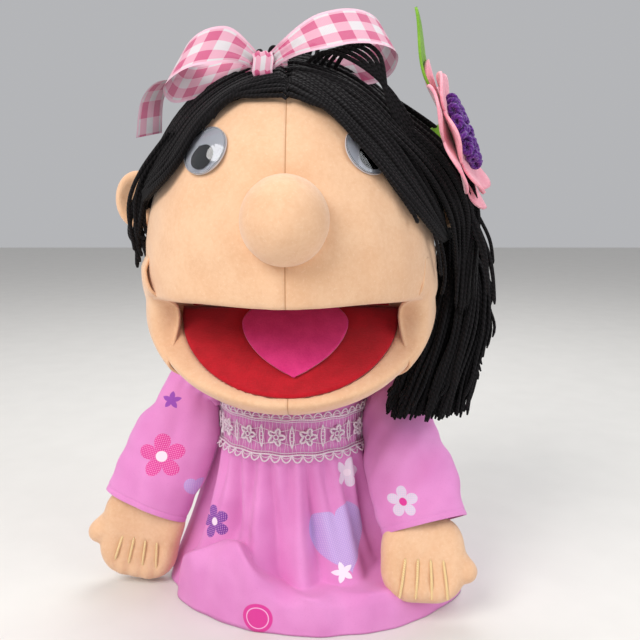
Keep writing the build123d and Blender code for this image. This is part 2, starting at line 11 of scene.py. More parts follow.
import bmesh
import bpy
import numpy as np
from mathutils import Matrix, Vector


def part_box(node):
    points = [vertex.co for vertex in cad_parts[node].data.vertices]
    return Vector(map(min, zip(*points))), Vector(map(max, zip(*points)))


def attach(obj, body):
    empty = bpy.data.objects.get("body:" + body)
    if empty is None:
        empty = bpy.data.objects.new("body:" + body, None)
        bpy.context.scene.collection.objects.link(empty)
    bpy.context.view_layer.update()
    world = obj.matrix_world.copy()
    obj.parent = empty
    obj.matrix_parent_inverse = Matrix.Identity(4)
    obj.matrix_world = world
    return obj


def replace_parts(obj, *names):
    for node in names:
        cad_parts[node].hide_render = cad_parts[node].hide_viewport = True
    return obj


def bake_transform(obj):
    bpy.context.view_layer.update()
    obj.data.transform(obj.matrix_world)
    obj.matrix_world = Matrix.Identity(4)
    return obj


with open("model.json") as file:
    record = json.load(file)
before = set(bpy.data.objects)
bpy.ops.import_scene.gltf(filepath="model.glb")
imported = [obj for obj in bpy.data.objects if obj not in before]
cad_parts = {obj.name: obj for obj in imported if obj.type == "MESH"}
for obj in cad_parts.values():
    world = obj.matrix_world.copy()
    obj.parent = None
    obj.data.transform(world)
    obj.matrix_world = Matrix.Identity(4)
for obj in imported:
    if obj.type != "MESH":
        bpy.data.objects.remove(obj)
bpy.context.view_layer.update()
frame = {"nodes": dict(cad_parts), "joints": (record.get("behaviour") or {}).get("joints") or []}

rng = np.random.default_rng(11)

MM = 0.001  # metres in a millimetre
SIDES = ("right", -1), ("left", 1)


# ---- Places and sizes --------------------------------------------------------------------------
def joint_mm(name):
    """Where a joint's axis is, in millimetres."""
    joint = next(j for j in frame["joints"] if j["name"] == name)
    return np.array(joint["pos_m"]) * 1000


HINGE = joint_mm("jaw_hinge")
TIE = joint_mm("ponytail_swing")

# The head is round seen from above, about HEAD_Y, and widest at the height WIDEST. Its side view is four
# arcs, two above WIDEST and two below: each has the radius or height of its middle, and its own radius.
HEAD_Y = -39.0
WIDEST = 222.0
SIDE_UP, SIDE_UP_R, POLE_UP, POLE_UP_R = -67.5, 157.5, 264.0, 78.0
SIDE_LOW, SIDE_LOW_R, POLE_LOW, POLE_LOW_R = 40.07, 49.93, 289.0, 128.0
TURN_UP = atan2(POLE_UP - WIDEST, -SIDE_UP)
TURN_LOW = atan2(POLE_LOW - WIDEST, SIDE_LOW)
HAIRLINE_NORMAL, HAIRLINE = np.array((0, 0.824, 0.566)), 110.4
NAPE_Z = 188.0

# The jaw, shut: two arcs in side view under its flat top.
JAW_SIDE, JAW_SIDE_R, JAW_POLE, JAW_POLE_R = 61.0, 28.0, 382.0, 219.0
JAW_TURN = radians(71.4)
JAW_TOP = HINGE[2] - 2.5
PALATE_TILT, JAW_DROP = radians(5), radians(36)
MOUTH_WIDE, MOUTH_DEEP = 67.0, 72.0

CHEST_R, GATHERS_Z = 50, 104  # the bodice's radius, and the height where the skirt is gathered to it

FELT = 1.6  # thickness
RIBBON = 25  # width
STRAND = 1.25  # radius of one yarn strand


# ---- Mesh helpers ------------------------------------------------------------------------------
def ramp(x, low, high):
    """0 below low, 1 above high, smooth between."""
    t = np.clip((x - low) / (high - low), 0, 1)
    return t * t * (3 - 2 * t)


def unit(v):
    return v / np.maximum(np.linalg.norm(v, axis=-1, keepdims=True), 1e-9)


def curve(points, count):
    """A smooth curve through a few points, evenly sampled in its parameter."""
    p = np.asarray(points, float)
    t = np.linspace(0, len(p) - 1, count)
    i = np.minimum(t.astype(int), len(p) - 2)
    f = (t - i)[:, None]
    before, after = np.maximum(i - 1, 0), np.minimum(i + 2, len(p) - 1)
    a, b, c, d = p[before], p[i], p[i + 1], p[after]
    square, cube = 2 * a - 5 * b + 4 * c - d, 3 * b - a - 3 * c + d
    return 0.5 * (2 * b + (c - a) * f + square * f**2 + cube * f**3)


def circle(count):
    """Evenly spaced angles of a full turn."""
    return np.arange(count) * tau / count


def around(radius, angle, z, axis_y=0.0):
    """Points about an upright axis, by radius, angle from the front, and height."""
    parts = radius * np.sin(angle), axis_y - radius * np.cos(angle), z
    return np.stack(np.broadcast_arrays(*parts), -1)


def waves(points, size, seed):
    """Smooth seeded unevenness: a sum of sine waves in space, about -1 to 1, with wavelength size."""
    source = np.random.default_rng(seed)
    total = np.zeros(points.shape[:-1])
    for step in range(3):
        for _ in range(3):
            way = unit(source.normal(size=3))
            phase = points @ way * tau / size * (1 + 0.7 * step) + source.uniform(0, tau)
            total += np.sin(phase) / (2 + step)
    return total / 2.2


class Build:
    """Gathers grids of points into one mesh, with UVs in millimetres."""

    def __init__(self):
        self.points, self.faces, self.uvs, self.count = [], [], [], 0

    def grid(self, points, close_u=False, close_v=False, uv_scale=None):
        """Adds a grid of points (rows, columns, 3); u runs down the rows and v along them. uv_scale is a
        cell's size each way, measured on the grid when it isn't given."""
        rows, columns = points.shape[:2]
        i = np.arange(rows if close_u else rows - 1)
        j = np.arange(columns if close_v else columns - 1)
        i, j = np.meshgrid(i, j, indexing="ij")
        i2, j2 = (i + 1) % rows, (j + 1) % columns
        quads = np.stack([i * columns + j, i * columns + j2, i2 * columns + j2, i2 * columns + j], -1)
        self.faces.extend((quads.reshape(-1, 4) + self.count).tolist())
        if uv_scale is None:
            down = np.linalg.norm(np.diff(points, axis=0), axis=-1).mean(1).mean()
            along = np.linalg.norm(np.diff(points, axis=1), axis=-1).mean(1).mean()
        else:
            down, along = uv_scale
        u, v = i * down, j * along
        u2, v2 = (i + 1) * down, (j + 1) * along
        corners = (u, v), (u, v2), (u2, v2), (u2, v)
        corner_uvs = np.stack([np.stack(corner, -1) for corner in corners], -2)
        self.uvs.append(corner_uvs.reshape(-1, 2))
        self.points.append(points.reshape(-1, 3))
        self.count += rows * columns

    def tube(self, path, radius, sides=6, closed=False):
        """Adds a round tube along a path; radius is one number or one for each point."""
        path = np.asarray(path, float)
        radius = np.broadcast_to(np.asarray(radius, float), len(path))
        if closed:
            way = unit(np.roll(path, -1, 0) - np.roll(path, 1, 0))
        else:
            way = unit(np.gradient(path, axis=0))
        across = np.zeros_like(path)
        start = np.cross(way[0], (0.31, 0.57, 0.76))  # any way that no tube runs along
        across[0] = start / np.linalg.norm(start)
        for k in range(1, len(path)):
            turned = across[k - 1] - way[k] * (across[k - 1] @ way[k])
            across[k] = turned / np.linalg.norm(turned)
        other = np.cross(way, across)
        angle = circle(sides)
        ring = across[:, None] * np.cos(angle)[:, None] + other[:, None] * np.sin(angle)[:, None]
        points = path[:, None] + ring * radius[:, None, None]
        if not closed:
            points[[0, -1]] = (points[[0, -1]] + path[[0, -1], None]) * 0.5
        first = self.count
        self.grid(points, close_u=closed, close_v=True)
        if not closed:
            last = first + (len(path) - 1) * sides
            self.faces.append([first + k for k in range(sides)])
            self.faces.append([last + k for k in reversed(range(sides))])
            self.uvs.append(np.zeros((2 * sides, 2)))

    def make(self, name, body, slot, material, merge=0.0):
        """The gathered mesh as one object on a body; points closer than merge are joined."""
        mesh = bpy.data.meshes.new(name)
        mesh.from_pydata((np.concatenate(self.points) * MM).tolist(), [], self.faces)
        layer = mesh.uv_layers.new(name="flat")
        layer.data.foreach_set("uv", np.concatenate(self.uvs).ravel())
        if merge:
            joined(mesh, merge * MM)
        return place(mesh, name, body, material)


def joined(mesh, near):
    """Joins points closer than near, in metres, and turns all faces outwards."""
    form = bmesh.new()
    form.from_mesh(mesh)
    bmesh.ops.remove_doubles(form, verts=form.verts, dist=near)
    bmesh.ops.recalc_face_normals(form, faces=form.faces)
    form.to_mesh(mesh)
    form.free()


def in_scene(name, data):
    """A new object in the scene."""
    obj = bpy.data.objects.new(name, data)
    bpy.context.scene.collection.objects.link(obj)
    return obj


def place(mesh, name, body, material):
    """Makes an object of a mesh that is in place, keeps its rest positions, and puts it on a body."""
    obj = in_scene(name, mesh)
    co = np.zeros(len(mesh.vertices) * 3, np.float32)
    mesh.vertices.foreach_get("co", co)
    rest = mesh.attributes.new("rest", "FLOAT_VECTOR", "POINT")
    rest.data.foreach_set("vector", co * 1000)
    mesh.materials.clear()
    mesh.materials.append(material)
    mesh.polygons.foreach_set("use_smooth", [True] * len(mesh.polygons))
    if isinstance(body, str):
        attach(obj, body)
    return obj


def applied(obj):
    """The object's mesh with its modifiers applied; the object is removed."""
    bpy.context.view_layer.update()
    made = bpy.data.meshes.new_from_object(obj.evaluated_get(bpy.context.evaluated_depsgraph_get()))
    bpy.data.objects.remove(obj)
    return made


def cloth(points, name, body, slot, material, thick=0.0, offset=-1, merge=0.0, **grid):
    """A grid of points as one piece, with a thickness in millimetres on one side, or on both at offset 0."""
    build = Build()
    build.grid(points, **grid)
    if not thick:
        return build.make(name, body, slot, material, merge)
    piece = build.make(name, None, slot, material, merge)
    solidify = piece.modifiers.new("thick", "SOLIDIFY")
    solidify.thickness = thick * MM
    solidify.offset = offset
    return place(applied(piece), name, body, material)


def scratch(mesh):
    """An object to work on, which is removed later."""
    return in_scene("scratch", mesh)


def soft(obj, voxel, rounds):
    """Remeshes a form evenly and rounds its edges; returns its mesh."""
    remesh = obj.modifiers.new("even", "REMESH")
    remesh.mode = "VOXEL"
    remesh.voxel_size = voxel * MM
    smooth = obj.modifiers.new("round", "SMOOTH")
    smooth.factor = 0.5
    smooth.iterations = rounds
    return applied(obj)


def cut(obj, *cutters):
    """Takes cutters away from a form."""
    for cutter in cutters:
        boolean = obj.modifiers.new("cut", "BOOLEAN")
        boolean.operation = "DIFFERENCE"
        boolean.solver = "EXACT"
        boolean.object = cutter
    mesh = applied(obj)
    for cutter in cutters:
        bpy.data.objects.remove(cutter)
    return scratch(mesh)


def prism(outline):
    """A solid with an outline in the side view (y, z), going all the way across the puppet."""
    form = bmesh.new()
    rings = []
    for x in (-120, 120):
        rings.append([form.verts.new((x * MM, y * MM, z * MM)) for y, z in outline])
    form.faces.new(rings[0])
    form.faces.new(list(reversed(rings[1])))
    for k in range(len(outline)):
        m = (k + 1) % len(outline)
        form.faces.new((rings[0][k], rings[1][k], rings[1][m], rings[0][m]))
    bmesh.ops.recalc_face_normals(form, faces=form.faces)
    mesh = bpy.data.meshes.new("prism")
    form.to_mesh(mesh)
    form.free()
    return scratch(mesh)


def revolved(profile, axis_y, steps=120):
    """A closed form turned about an upright axis; the profile (radius, z) starts and ends at radius 0."""
    profile = np.asarray(profile, float)
    build = Build()
    build.grid(around(profile[:, :1], circle(steps), profile[:, 1:], axis_y), close_v=True)
    mesh = bpy.data.meshes.new("turned")
    mesh.from_pydata((np.concatenate(build.points) * MM).tolist(), [], build.faces)
    joined(mesh, 1e-6)
    return scratch(mesh)


def reshape(mesh, change):
    """Moves a mesh's points by a function of their places in millimetres."""
    co = np.zeros(len(mesh.vertices) * 3)
    mesh.vertices.foreach_get("co", co)
    co = change(co.reshape(-1, 3) * 1000) * MM
    mesh.vertices.foreach_set("co", co.ravel())
    mesh.update()
    return mesh


def arc(centre_rho, centre_z, radius, start, end, count):
    """Points (radius from the axis, height) along an arc."""
    angle = np.linspace(start, end, count)
    return np.stack([centre_rho + radius * np.cos(angle), centre_z + radius * np.sin(angle)], -1)


# ---- The head's surface ------------------------------------------------------------------------
def head_gap(p):
    """Distance of points from the round head, positive outside, and the way out."""
    out = p - (0, HEAD_Y, 0)
    rho = np.hypot(out[..., 0], out[..., 1])
    z = p[..., 2]
    up = z >= WIDEST
    side = np.where(up, SIDE_UP, SIDE_LOW)
    side_r = np.where(up, SIDE_UP_R, SIDE_LOW_R)
    pole = np.where(up, POLE_UP, POLE_LOW)
    pole_r = np.where(up, POLE_UP_R, POLE_LOW_R)
    turn = np.where(up, TURN_UP, TURN_LOW)
    at_side = np.arctan2(np.abs(z - WIDEST), rho - side) < turn
    from_rho = np.where(at_side, rho - side, rho)
    from_z = np.where(at_side, z - WIDEST, z - pole)
    far = np.maximum(np.hypot(from_rho, from_z), 1e-6)
    gap = far - np.where(at_side, side_r, pole_r)
    flat = out[..., :2] / np.maximum(rho, 1e-6)[..., None] * (from_rho / far)[..., None]
    return gap, np.concatenate([flat, (from_z / far)[..., None]], -1)


def settle(points, lift):
    """Puts points on the head's surface, raised by lift."""
    p = np.array(points, float)
    for _ in range(3):
        gap, way = head_gap(p)
        p = p - way * (gap - lift)[..., None]
    return p


def head_profile(grow=0.0):
    """The head's outline from the crown down to the underside."""
    parts = (
        arc(0, POLE_UP, POLE_UP_R + grow, pi / 2, TURN_UP, 26),
        arc(SIDE_UP, WIDEST, SIDE_UP_R + grow, TURN_UP, 0, 24)[1:],
        arc(SIDE_LOW, WIDEST, SIDE_LOW_R + grow, 0, -TURN_LOW, 16)[1:],
        arc(0, POLE_LOW, POLE_LOW_R + grow, -TURN_LOW, -pi / 2, 16)[1:],
    )
    profile = np.concatenate(parts)
    profile[0, 0] = profile[-1, 0] = 0
    return profile


def on_jaw(p):
    """Turns points of the shut jaw about the hinge, down to its rest."""
    y, z = p[..., 1] - HINGE[1], p[..., 2] - HINGE[2]
    turned_y = HINGE[1] + y * cos(JAW_DROP) - z * sin(JAW_DROP)
    turned_z = HINGE[2] + y * sin(JAW_DROP) + z * cos(JAW_DROP)
    return np.stack([p[..., 0], turned_y, turned_z], -1)


# ---- Materials ---------------------------------------------------------------------------------
def srgb(code):
    """Linear colour of an sRGB hex code."""
    parts = [int(code[k : k + 2], 16) / 255 for k in (0, 2, 4)]
    return tuple(c / 12.92 if c <= 0.04045 else ((c + 0.055) / 1.055) ** 2.4 for c in parts) + (1.0,)


class Value:
    """A value in a node material; arithmetic with it adds math nodes."""

    def __init__(self, shader, socket):
        self.shader, self.socket = shader, socket

    def math(self, operation, other=0.0):
        return self.shader.math(operation, self, other)

    def __add__(self, other):
        return self.math("ADD", other)

    def __sub__(self, other):
        return self.math("SUBTRACT", other)

    def __rsub__(self, other):
        return self.shader.math("SUBTRACT", other, self)

    def __mul__(self, other):
        return self.math("MULTIPLY", other)

    def __truediv__(self, other):
        return self.math("DIVIDE", other)

    def __pow__(self, other):
        return self.math("POWER", other)

    def __abs__(self):
        return self.math("ABSOLUTE")


class Shader:
    """A node material under construction. Its coordinates are rest positions in millimetres."""

    def __init__(self, name, cad=False):
        self.material = bpy.data.materials.new(name)
        self.material.use_nodes = True
        self.tree = self.material.node_tree
        self.principled = self.tree.nodes["Principled BSDF"]
        if cad:
            texture = self.node("TexCoord")["Object"]
            self.place = self.node("VectorMath", {0: texture, "Scale": 1000}, operation="SCALE")["Vector"]
        else:
            self.place = self.node("Attribute", attribute_name="rest")["Vector"]

    def node(self, kind, inputs={}, **settings):
        """Adds a node with its settings and inputs; returns its outputs by name."""
        node = self.tree.nodes.new("ShaderNode" + kind)
        for name, value in settings.items():
            setattr(node, name, value)
        for name, value in inputs.items():
            self.link(value, node.inputs[name])
        return {output.name: Value(self, output) for output in node.outputs if output.enabled}

    def link(self, value, socket):
        """Gives a socket a value, a number or a colour code."""
        if isinstance(value, Value):
            self.tree.links.new(value.socket, socket)
        else:
            socket.default_value = srgb(value) if isinstance(value, str) else value

    def math(self, operation, a, b):
        return self.node("Math", {0: a, 1: b}, operation=operation)["Value"]

    def dot(self, a, b):
        return self.node("VectorMath", {0: a, 1: b}, operation="DOT_PRODUCT")["Value"]

    def noise(self, size, detail, stretch=(1, 1, 1)):
        """Noise with features of about size millimetres."""
        where = self.place
        if stretch != (1, 1, 1):
            where = self.node("VectorMath", {0: where, 1: stretch}, operation="MULTIPLY")["Vector"]
        return self.node("TexNoise", {"Vector": where, "Scale": 1 / size, "Detail": detail})["Fac"]

    def step(self, value, low, high):
        """0 below low, 1 above high; with high below low, the other way round."""
        span = {"From Min": min(low, high), "From Max": max(low, high)}
        reach = {"To Min": float(low > high), "To Max": float(low < high)}
        inputs = {"Value": value, **span, **reach}
        return self.node("MapRange", inputs, interpolation_type="SMOOTHSTEP")["Result"]

    def mix(self, a, b, share):
        """Colour a where share is 0 and colour b where it is 1."""
        return self.node("Mix", {0: share, 6: a, 7: b}, data_type="RGBA")["Result"]

    def uv(self):
        """(u, v) of the flat piece, in millimetres."""
        parts = self.node("SeparateXYZ", {0: self.node("UVMap", uv_map="flat")["UV"]})
        return parts["X"], parts["Y"]

    def bump(self, height, depth, strength):
        """Raises the surface by height times depth millimetres."""
        normal = self.node("Bump", {"Strength": strength, "Distance": depth * MM, "Height": height})["Normal"]
        self.link(normal, self.principled.inputs["Normal"])

    def surface(self, colour, rough, sheen=0.0, specular=0.2, **sockets):
        """The finished material."""
        sockets.update({"Base Color": colour, "Roughness": rough, "Specular IOR Level": specular})
        if sheen:
            sockets.update({"Sheen Weight": sheen, "Sheen Roughness": 0.5})
        for name, value in sockets.items():
            self.link(value, self.principled.inputs[name])
        return self.material


def felt(name, dark, light, cad=False, sheen=0.25):
    """Matted felt: cloudy colour, fine crossing fibres and a soft nap."""
    s = Shader(name, cad)
    clouds = s.noise(9, 3)
    fibres = s.noise(0.9, 4, stretch=(1, 0.35, 1))
    crossing = s.noise(0.8, 3, stretch=(0.3, 1, 0.6))
    nap = fibres * 0.6 + crossing * 0.4
    tone = clouds * 0.55 + nap * 0.45
    s.bump(nap, 0.5, 0.55)
    return s.surface(s.mix(dark, light, s.step(tone, 0.32, 0.68)), 0.95, sheen)


def fleece(name, cad=False, seam=False):
    """Brushed peach fleece: soft pile, faint mottling, and a sewn line along the middle."""
    s = Shader(name, cad)
    clouds, pile, tufts = s.noise(22, 2), s.noise(1.1, 5), s.noise(2.6, 3)
    colour = s.mix("DEB08A", "E7BE9A", s.step(clouds * 0.6 + tufts * 0.4, 0.3, 0.7))
    colour = s.mix(colour, "F3D6B8", s.step(pile, 0.55, 0.8) * 0.35)
    height = pile * 0.6 + tufts * 0.4
    if seam:
        from_middle = abs(s.node("SeparateXYZ", {0: s.place})["X"])
        colour = s.mix(colour, "A8764F", s.step(from_middle, 0.55, 0.15) * 0.75)
        height = height - s.step(from_middle, 1.4, 0.2) * 1.2
    s.bump(height, 0.6, 0.45)
    return s.surface(colour, 0.95, 0.35)


def yarn(name, dark, light, turn=2.6, sheen=0.25):
    """Twisted yarn: plies that wind round the strand once in turn millimetres, with fuzz."""
    s = Shader(name)
    u, v = s.uv()
    ply = (u * (tau / turn) + v * (tau / 3.0)).math("SINE")
    fuzz = s.noise(0.5, 4)
    s.bump(ply * 0.5 + fuzz * 0.8, 0.45, 0.8)
    return s.surface(s.mix(dark, light, s.step(ply * 0.25 + fuzz, 0.35, 0.95)), 0.8, sheen)


def plastic(name, colour, rough):
    """Moulded plastic with a faint ripple."""
    s = Shader(name, cad=True)
    ripple = s.noise(6, 2)
    s.bump(ripple, 0.05, 0.3)
    shade = s.mix(colour, (*[c * 0.82 for c in srgb(colour)[:3]], 1), ripple)
    return s.surface(shade, rough, specular=0.5)


def clear_plastic():
    """The eyes' clear domes."""
    s = Shader("eye_clear", cad=True)
    s.bump(s.noise(7, 1), 0.03, 0.2)
    return s.surface("F4F6F8", 0.04, specular=0.6, **{"Transmission Weight": 1.0, "IOR": 1.4})


def distance(x, y):
    return (x * x + y * y).math("SQRT")


def near(s, centre, normal, up):
    """Flat coordinates in millimetres about a point on a piece, and how far off its plane a place is."""
    n = unit(np.array(normal, float))
    rise = np.array(up, float)
    rise = unit(rise - n * (rise @ n))
    away = s.node("VectorMath", {0: s.place, 1: tuple(centre)}, operation="SUBTRACT")["Vector"]
    x, y, off = (s.dot(away, tuple(way)) for way in (np.cross(rise, n), rise, n))
    return x, y, abs(off)


def petals_mask(s, x, y, radius, turn):
    """1 inside a flower outline with five round petals."""
    lobe = abs(((x.math("ARCTAN2", y) + turn) * 2.5).math("COSINE"))
    return s.step((lobe**0.6 * 0.62 + 0.38) * radius - distance(x, y), -0.25, 0.25)


def star_mask(s, x, y, radius, turn):
    """1 inside a star with five points."""
    saw = ((x.math("ARCTAN2", y) + turn) * (5 / tau)).math("PINGPONG", 0.5)
    return s.step((1.0 - saw * 1.15) * radius - distance(x, y), -0.2, 0.2)


def heart_mask(s, x, y, size):
    """1 inside a heart."""
    a = abs(x / size)
    b = y / size - a.math("SQRT") * 0.62
    return s.step(1.0 - (a * a + b * b), -0.05, 0.05)


def dots(s, x, y, pitch, radius):
    """1 inside the dots of a small square pattern."""
    dx, dy = (way.math("PINGPONG", pitch / 2) - pitch / 4 for way in (x, y))
    return s.step(distance(dx, dy), radius + 0.12, radius - 0.12)


def printed_cotton(name, prints, reach=24):
    """Pink cotton with a print. Each print is kind, place, way out, way up, size, colour and turn; it is
    on the cloth within reach of its place."""
    s = Shader(name)
    clouds, thread = s.noise(30, 2), s.noise(0.8, 3)
    colour = s.mix("DC86C4", "E694D0", s.step(clouds, 0.3, 0.7))
    colour = s.mix(colour, "C96FB0", s.step(thread, 0.5, 0.85) * 0.3)
    for kind, centre, normal, up, size, code, turn in prints:
        x, y, off = near(s, centre, normal, up)
        close = s.step(off, reach, reach - 3)
        if kind == "flower":
            ink = s.mix(code, "F6C3E4", dots(s, x, y, 2.4, 0.32) * 0.6)
            colour = s.mix(colour, ink, petals_mask(s, x, y, size, turn) * close)
            middle = s.step(distance(x, y), size * 0.26, size * 0.22)
            colour = s.mix(colour, "DE3F9A" if code == "D9CBE0" else "F7E4F2", middle * close)
        elif kind == "star":
            colour = s.mix(colour, code, star_mask(s, x, y, size, turn) * close)
        elif kind == "heart":
            ink = s.mix(code, "F0D8F0", dots(s, x, y, 2.2, 0.3) * 0.5)
            colour = s.mix(colour, ink, heart_mask(s, x, y, size) * close)
        elif kind == "dot":
            far = distance(x, y)
            colour = s.mix(colour, code, s.step(far, size + 0.3, size - 0.3) * close)
            colour = s.mix(colour, "F2B0DC", s.step(abs(far - size * 0.72), 0.5, 0.2) * close)
    u, v = s.uv()
    weave = (u * (tau / 0.55)).math("SINE") * (v * (tau / 0.55)).math("SINE")
    s.bump(weave * 0.35 + thread * 0.65, 0.22, 0.5)
    return s.surface(colour, 0.82, 0.15)


def gingham(name):
    """Sheer checked ribbon with satin edges; u runs along it and v across."""
    s = Shader(name)
    u, v = s.uv()
    check = 6.25
    along, across = (
        s.step(way.math("PINGPONG", check), check * 0.5 - 0.12, check * 0.5 + 0.12) for way in (u, v)
    )
    colour = s.mix("DDD6DA", "E3A3B9", along.math("MAXIMUM", across))
    colour = s.mix(colour, "CC4F7F", along * across)
    satin = s.step(RIBBON / 2 - abs(v - RIBBON / 2), 1.9, 1.5)
    colour = s.mix(colour, "F0BFD2", satin)
    cords, grain = (u * (tau / 0.6)).math("SINE"), (v * (tau / 0.5)).math("SINE")
    s.bump(cords * 0.5 + grain * 0.5, 0.1, 0.5)
    return s.surface(colour, 0.55 - satin * 0.25, 0.2, specular=0.4, Alpha=0.88)


skin = fleece("skin_fleece", seam=True)
skin_plain = fleece("skin_fleece_plain")
cad_fleece = fleece("skin_fleece_inside", cad=True)
red = felt("mouth_felt", "A80C1C", "BE1224")
# The mouth's fold gets a darker copy of the red mouth felt: painted shade for the back of the mouth.
red_shaded_cad = felt("mouth_felt_fold_painted_shade", "860916", "A81020", cad=True)
magenta = felt("tongue_felt", "D52C78", "E63C86")
petal = felt("petal_felt", "EE93A6", "F9B4C0")
green = felt("leaf_felt", "6E9E2C", "84B63C")
board = felt("mouth_board", "A89A86", "C2B6A2", cad=True, sheen=0.05)
pocket = felt("pocket_cloth", "C9A988", "DCC0A0", cad=True, sheen=0.1)
black_yarn = yarn("hair_yarn", "040305", "171216", sheen=0.04)
scalp = felt("wig_cloth", "040305", "0E0A0D", sheen=0.03)
purple = yarn("purple_yarn", "54207A", "7D3BA6", turn=2.2)
stitch = yarn("stitch_thread", "F0CC8E", "FFE8B8", turn=1.4)
lace_thread = yarn("lace_thread", "F0DCEA", "FFF6FB", turn=1.2)
ribbon = gingham("gingham_ribbon")
elastic_cloth = felt("neck_elastic_cloth", "C9BFB2", "DDD4C8", cad=True, sheen=0.05)

KEPT = {
    "neck_elastic": elastic_cloth, "neck_sleeve": cad_fleece, "mouth_fold": red_shaded_cad,
    "upper_mouth_board": board, "lower_mouth_board": board, "finger_pocket": pocket, "thumb_pocket": pocket,
    "ponytail_tie": plastic("hair_tie_band", "120E12", 0.55),
}
white_plastic = plastic("eye_white", "C6C7D0", 0.35)
black_plastic = plastic("eye_black", "141416", 0.12)
clear = clear_plastic()
for side in ("left", "right"):
    KEPT[f"{side}_eye_back"] = white_plastic
    KEPT[f"{side}_pupil"] = black_plastic
    KEPT[f"{side}_eye_dome"] = clear
for node, material in KEPT.items():
    data = frame["nodes"][node].data
    data.materials.clear()
    data.materials.append(material)

# ---- Head and jaw ------------------------------------------------------------------------------
PALATE = HINGE[2] + 2.5  # height of the palate at the hinge
mouth_gap = prism(
    ((HINGE[1] + 4, PALATE), (-170, PALATE + 121 * sin(PALATE_TILT)), (-170, 100), (-41, 100), (-41, 164))
)
head_form = cut(revolved(head_profile(), HEAD_Y), mouth_gap)


HAND_R, HAND_TOP = 40, 262  # the room for a hand inside the head
hand_room = revolved(((0, HAND_TOP), (HAND_R, HAND_TOP), (HAND_R, 120), (0, 120)), 0, 48)
head_form = cut(head_form, hand_room)


def in_mouth(x, forward):
    """1 over the mouth's felt, 0 on the lips."""
    within = 1 - (x / (MOUTH_WIDE + 1)) ** 2 - (forward / (MOUTH_DEEP + 2)) ** 2
    return ramp(within, -0.02, 0.05) * ramp(forward, -3, 0)


def seam_groove(p):
    """How deep the sewn line along the middle pulls the skin in."""
    return 0.5 * np.exp(-((p[:, 0] / 2.6) ** 2))


def shape_head(p):
    """Makes a stuffed head's unevenness, the seam's groove, the mouth's recess and the lip's bow."""
    gap, way = head_gap(p)
    outside = ramp(gap, -3, -0.5)
    p = p + way * (waves(p, 46, 3) * 0.9 * outside)[:, None]
    p = p - way * (seam_groove(p) * outside)[:, None]
    forward, up = HINGE[1] - p[:, 1], p[:, 2] - HINGE[2]
    lift = up * cos(PALATE_TILT) - forward * sin(PALATE_TILT)
    under = 1 - ramp(lift, 5.5, 8.0)
    p[:, 2] += 3.4 * in_mouth(p[:, 0], forward) * under
    lip_bow = 2.4 * np.exp(-((p[:, 0] / 40) ** 2))
    p[:, 2] -= lip_bow * (1 - ramp(lift, 0, 16)) * ramp(forward, 50, 78)
    return p


head = place(reshape(soft(head_form, 2.2, 6), shape_head), "head_skin", "head", skin)
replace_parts(head, "head_cover_left", "head_cover_right", "head_stuffing")

jaw_profile = np.concatenate([
    [(0, JAW_TOP)],
    arc(JAW_SIDE, JAW_TOP, JAW_SIDE_R, 0, -JAW_TURN, 16),
    arc(0, JAW_POLE, JAW_POLE_R, -JAW_TURN, -pi / 2, 14)[1:],
])
jaw_profile[-1, 0] = 0
behind = prism(((-52, 210), (-52, 197.5), (-87, 160), (-87, 130), (60, 130), (60, 210)))
jaw_form = cut(revolved(jaw_profile, HEAD_Y), behind)


def shape_jaw(p):
    """Lets the lip swell, makes the seam's groove and the mouth's recess, and drops the jaw to its rest."""
    lip = np.exp(-(((p[:, 2] - JAW_TOP + 4) / 5) ** 2))
    out = unit(p * (1, 1, 0) - (0, HEAD_Y, 0))
    p = p + out * (0.7 * lip)[:, None] + waves(p, 30, 5)[:, None] * 0.35 * out
    p = p - out * (seam_groove(p) * ramp(JAW_TOP - p[:, 2], 3, 8))[:, None]
    p[:, 2] -= 3.6 * in_mouth(p[:, 0], HINGE[1] - p[:, 1]) * (1 - ramp(JAW_TOP - p[:, 2], 4, 8))
    return on_jaw(p)


jaw = place(reshape(soft(jaw_form, 2.0, 5), shape_jaw), "jaw_skin", "jaw", skin)
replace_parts(jaw, "jaw_cover_left", "jaw_cover_right", "jaw_stuffing")


def jaw_surface(azimuth, drop):
    """A point of the shut jaw's side, drop below its rim."""
    return around(JAW_SIDE + np.sqrt(JAW_SIDE_R**2 - drop**2), azimuth, JAW_TOP - drop, HEAD_Y)


def cheek(side, sign):
    """Skin that joins the head and the jaw beside the mouth's corner."""
    rows, columns = 34, 40
    v = np.linspace(0, 1, rows)[:, None]
    u = np.linspace(0, 1, columns)[None, :]
    lean = 0.30 if sign < 0 else 0.22
    azimuth = radians(50) + u * radians(40) + lean * (1 - v) ** 2 * (1 - u)
    head_z = 207 + 27 * (1 - v / 0.42) * (v < 0.42)
    top = settle(around(90, azimuth, head_z, HEAD_Y), 0)
    drop = 14 * np.clip((v - 0.6) / 0.4, 0, 1) + 1.0
    low = on_jaw(jaw_surface(np.minimum(azimuth, radians(81)), drop))
    share = ramp(v, 0.40, 0.62)[..., None]
    points = top * (1 - share) + low * share
    inward = np.exp(-((u / 0.22) ** 2)) * np.exp(-(((v - 0.47) / 0.11) ** 2))
    points[..., 0] *= 1 - 0.10 * inward
    points[..., 1] += 20 * inward
    out = unit(points * (1, 1, 0) - (0, HEAD_Y, 0))
    top_edge = v * (9 if sign < 0 else 3)
    edge = np.minimum(np.minimum(top_edge, (1 - v) * 5), 1) * np.minimum((1 - u) * 5, 1)
    proud = -2.4 + 3.2 * edge
    if sign < 0:
        crease = np.exp(-(((u - 0.1) / 0.18) ** 2)) * (1 - ramp(v, 0.3, 0.5))
        proud = proud + 1.6 * crease * np.minimum(v * 6, 1)
    points = points + out * proud[..., None]
    points[..., 0] *= sign
    points = points if sign > 0 else points[:, ::-1]
    piece = cloth(points, f"cheek_{side}", None, "skin_fleece", skin_plain, thick=1.6)
    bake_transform(piece)


for side, sign in SIDES:
    cheek(side, sign)


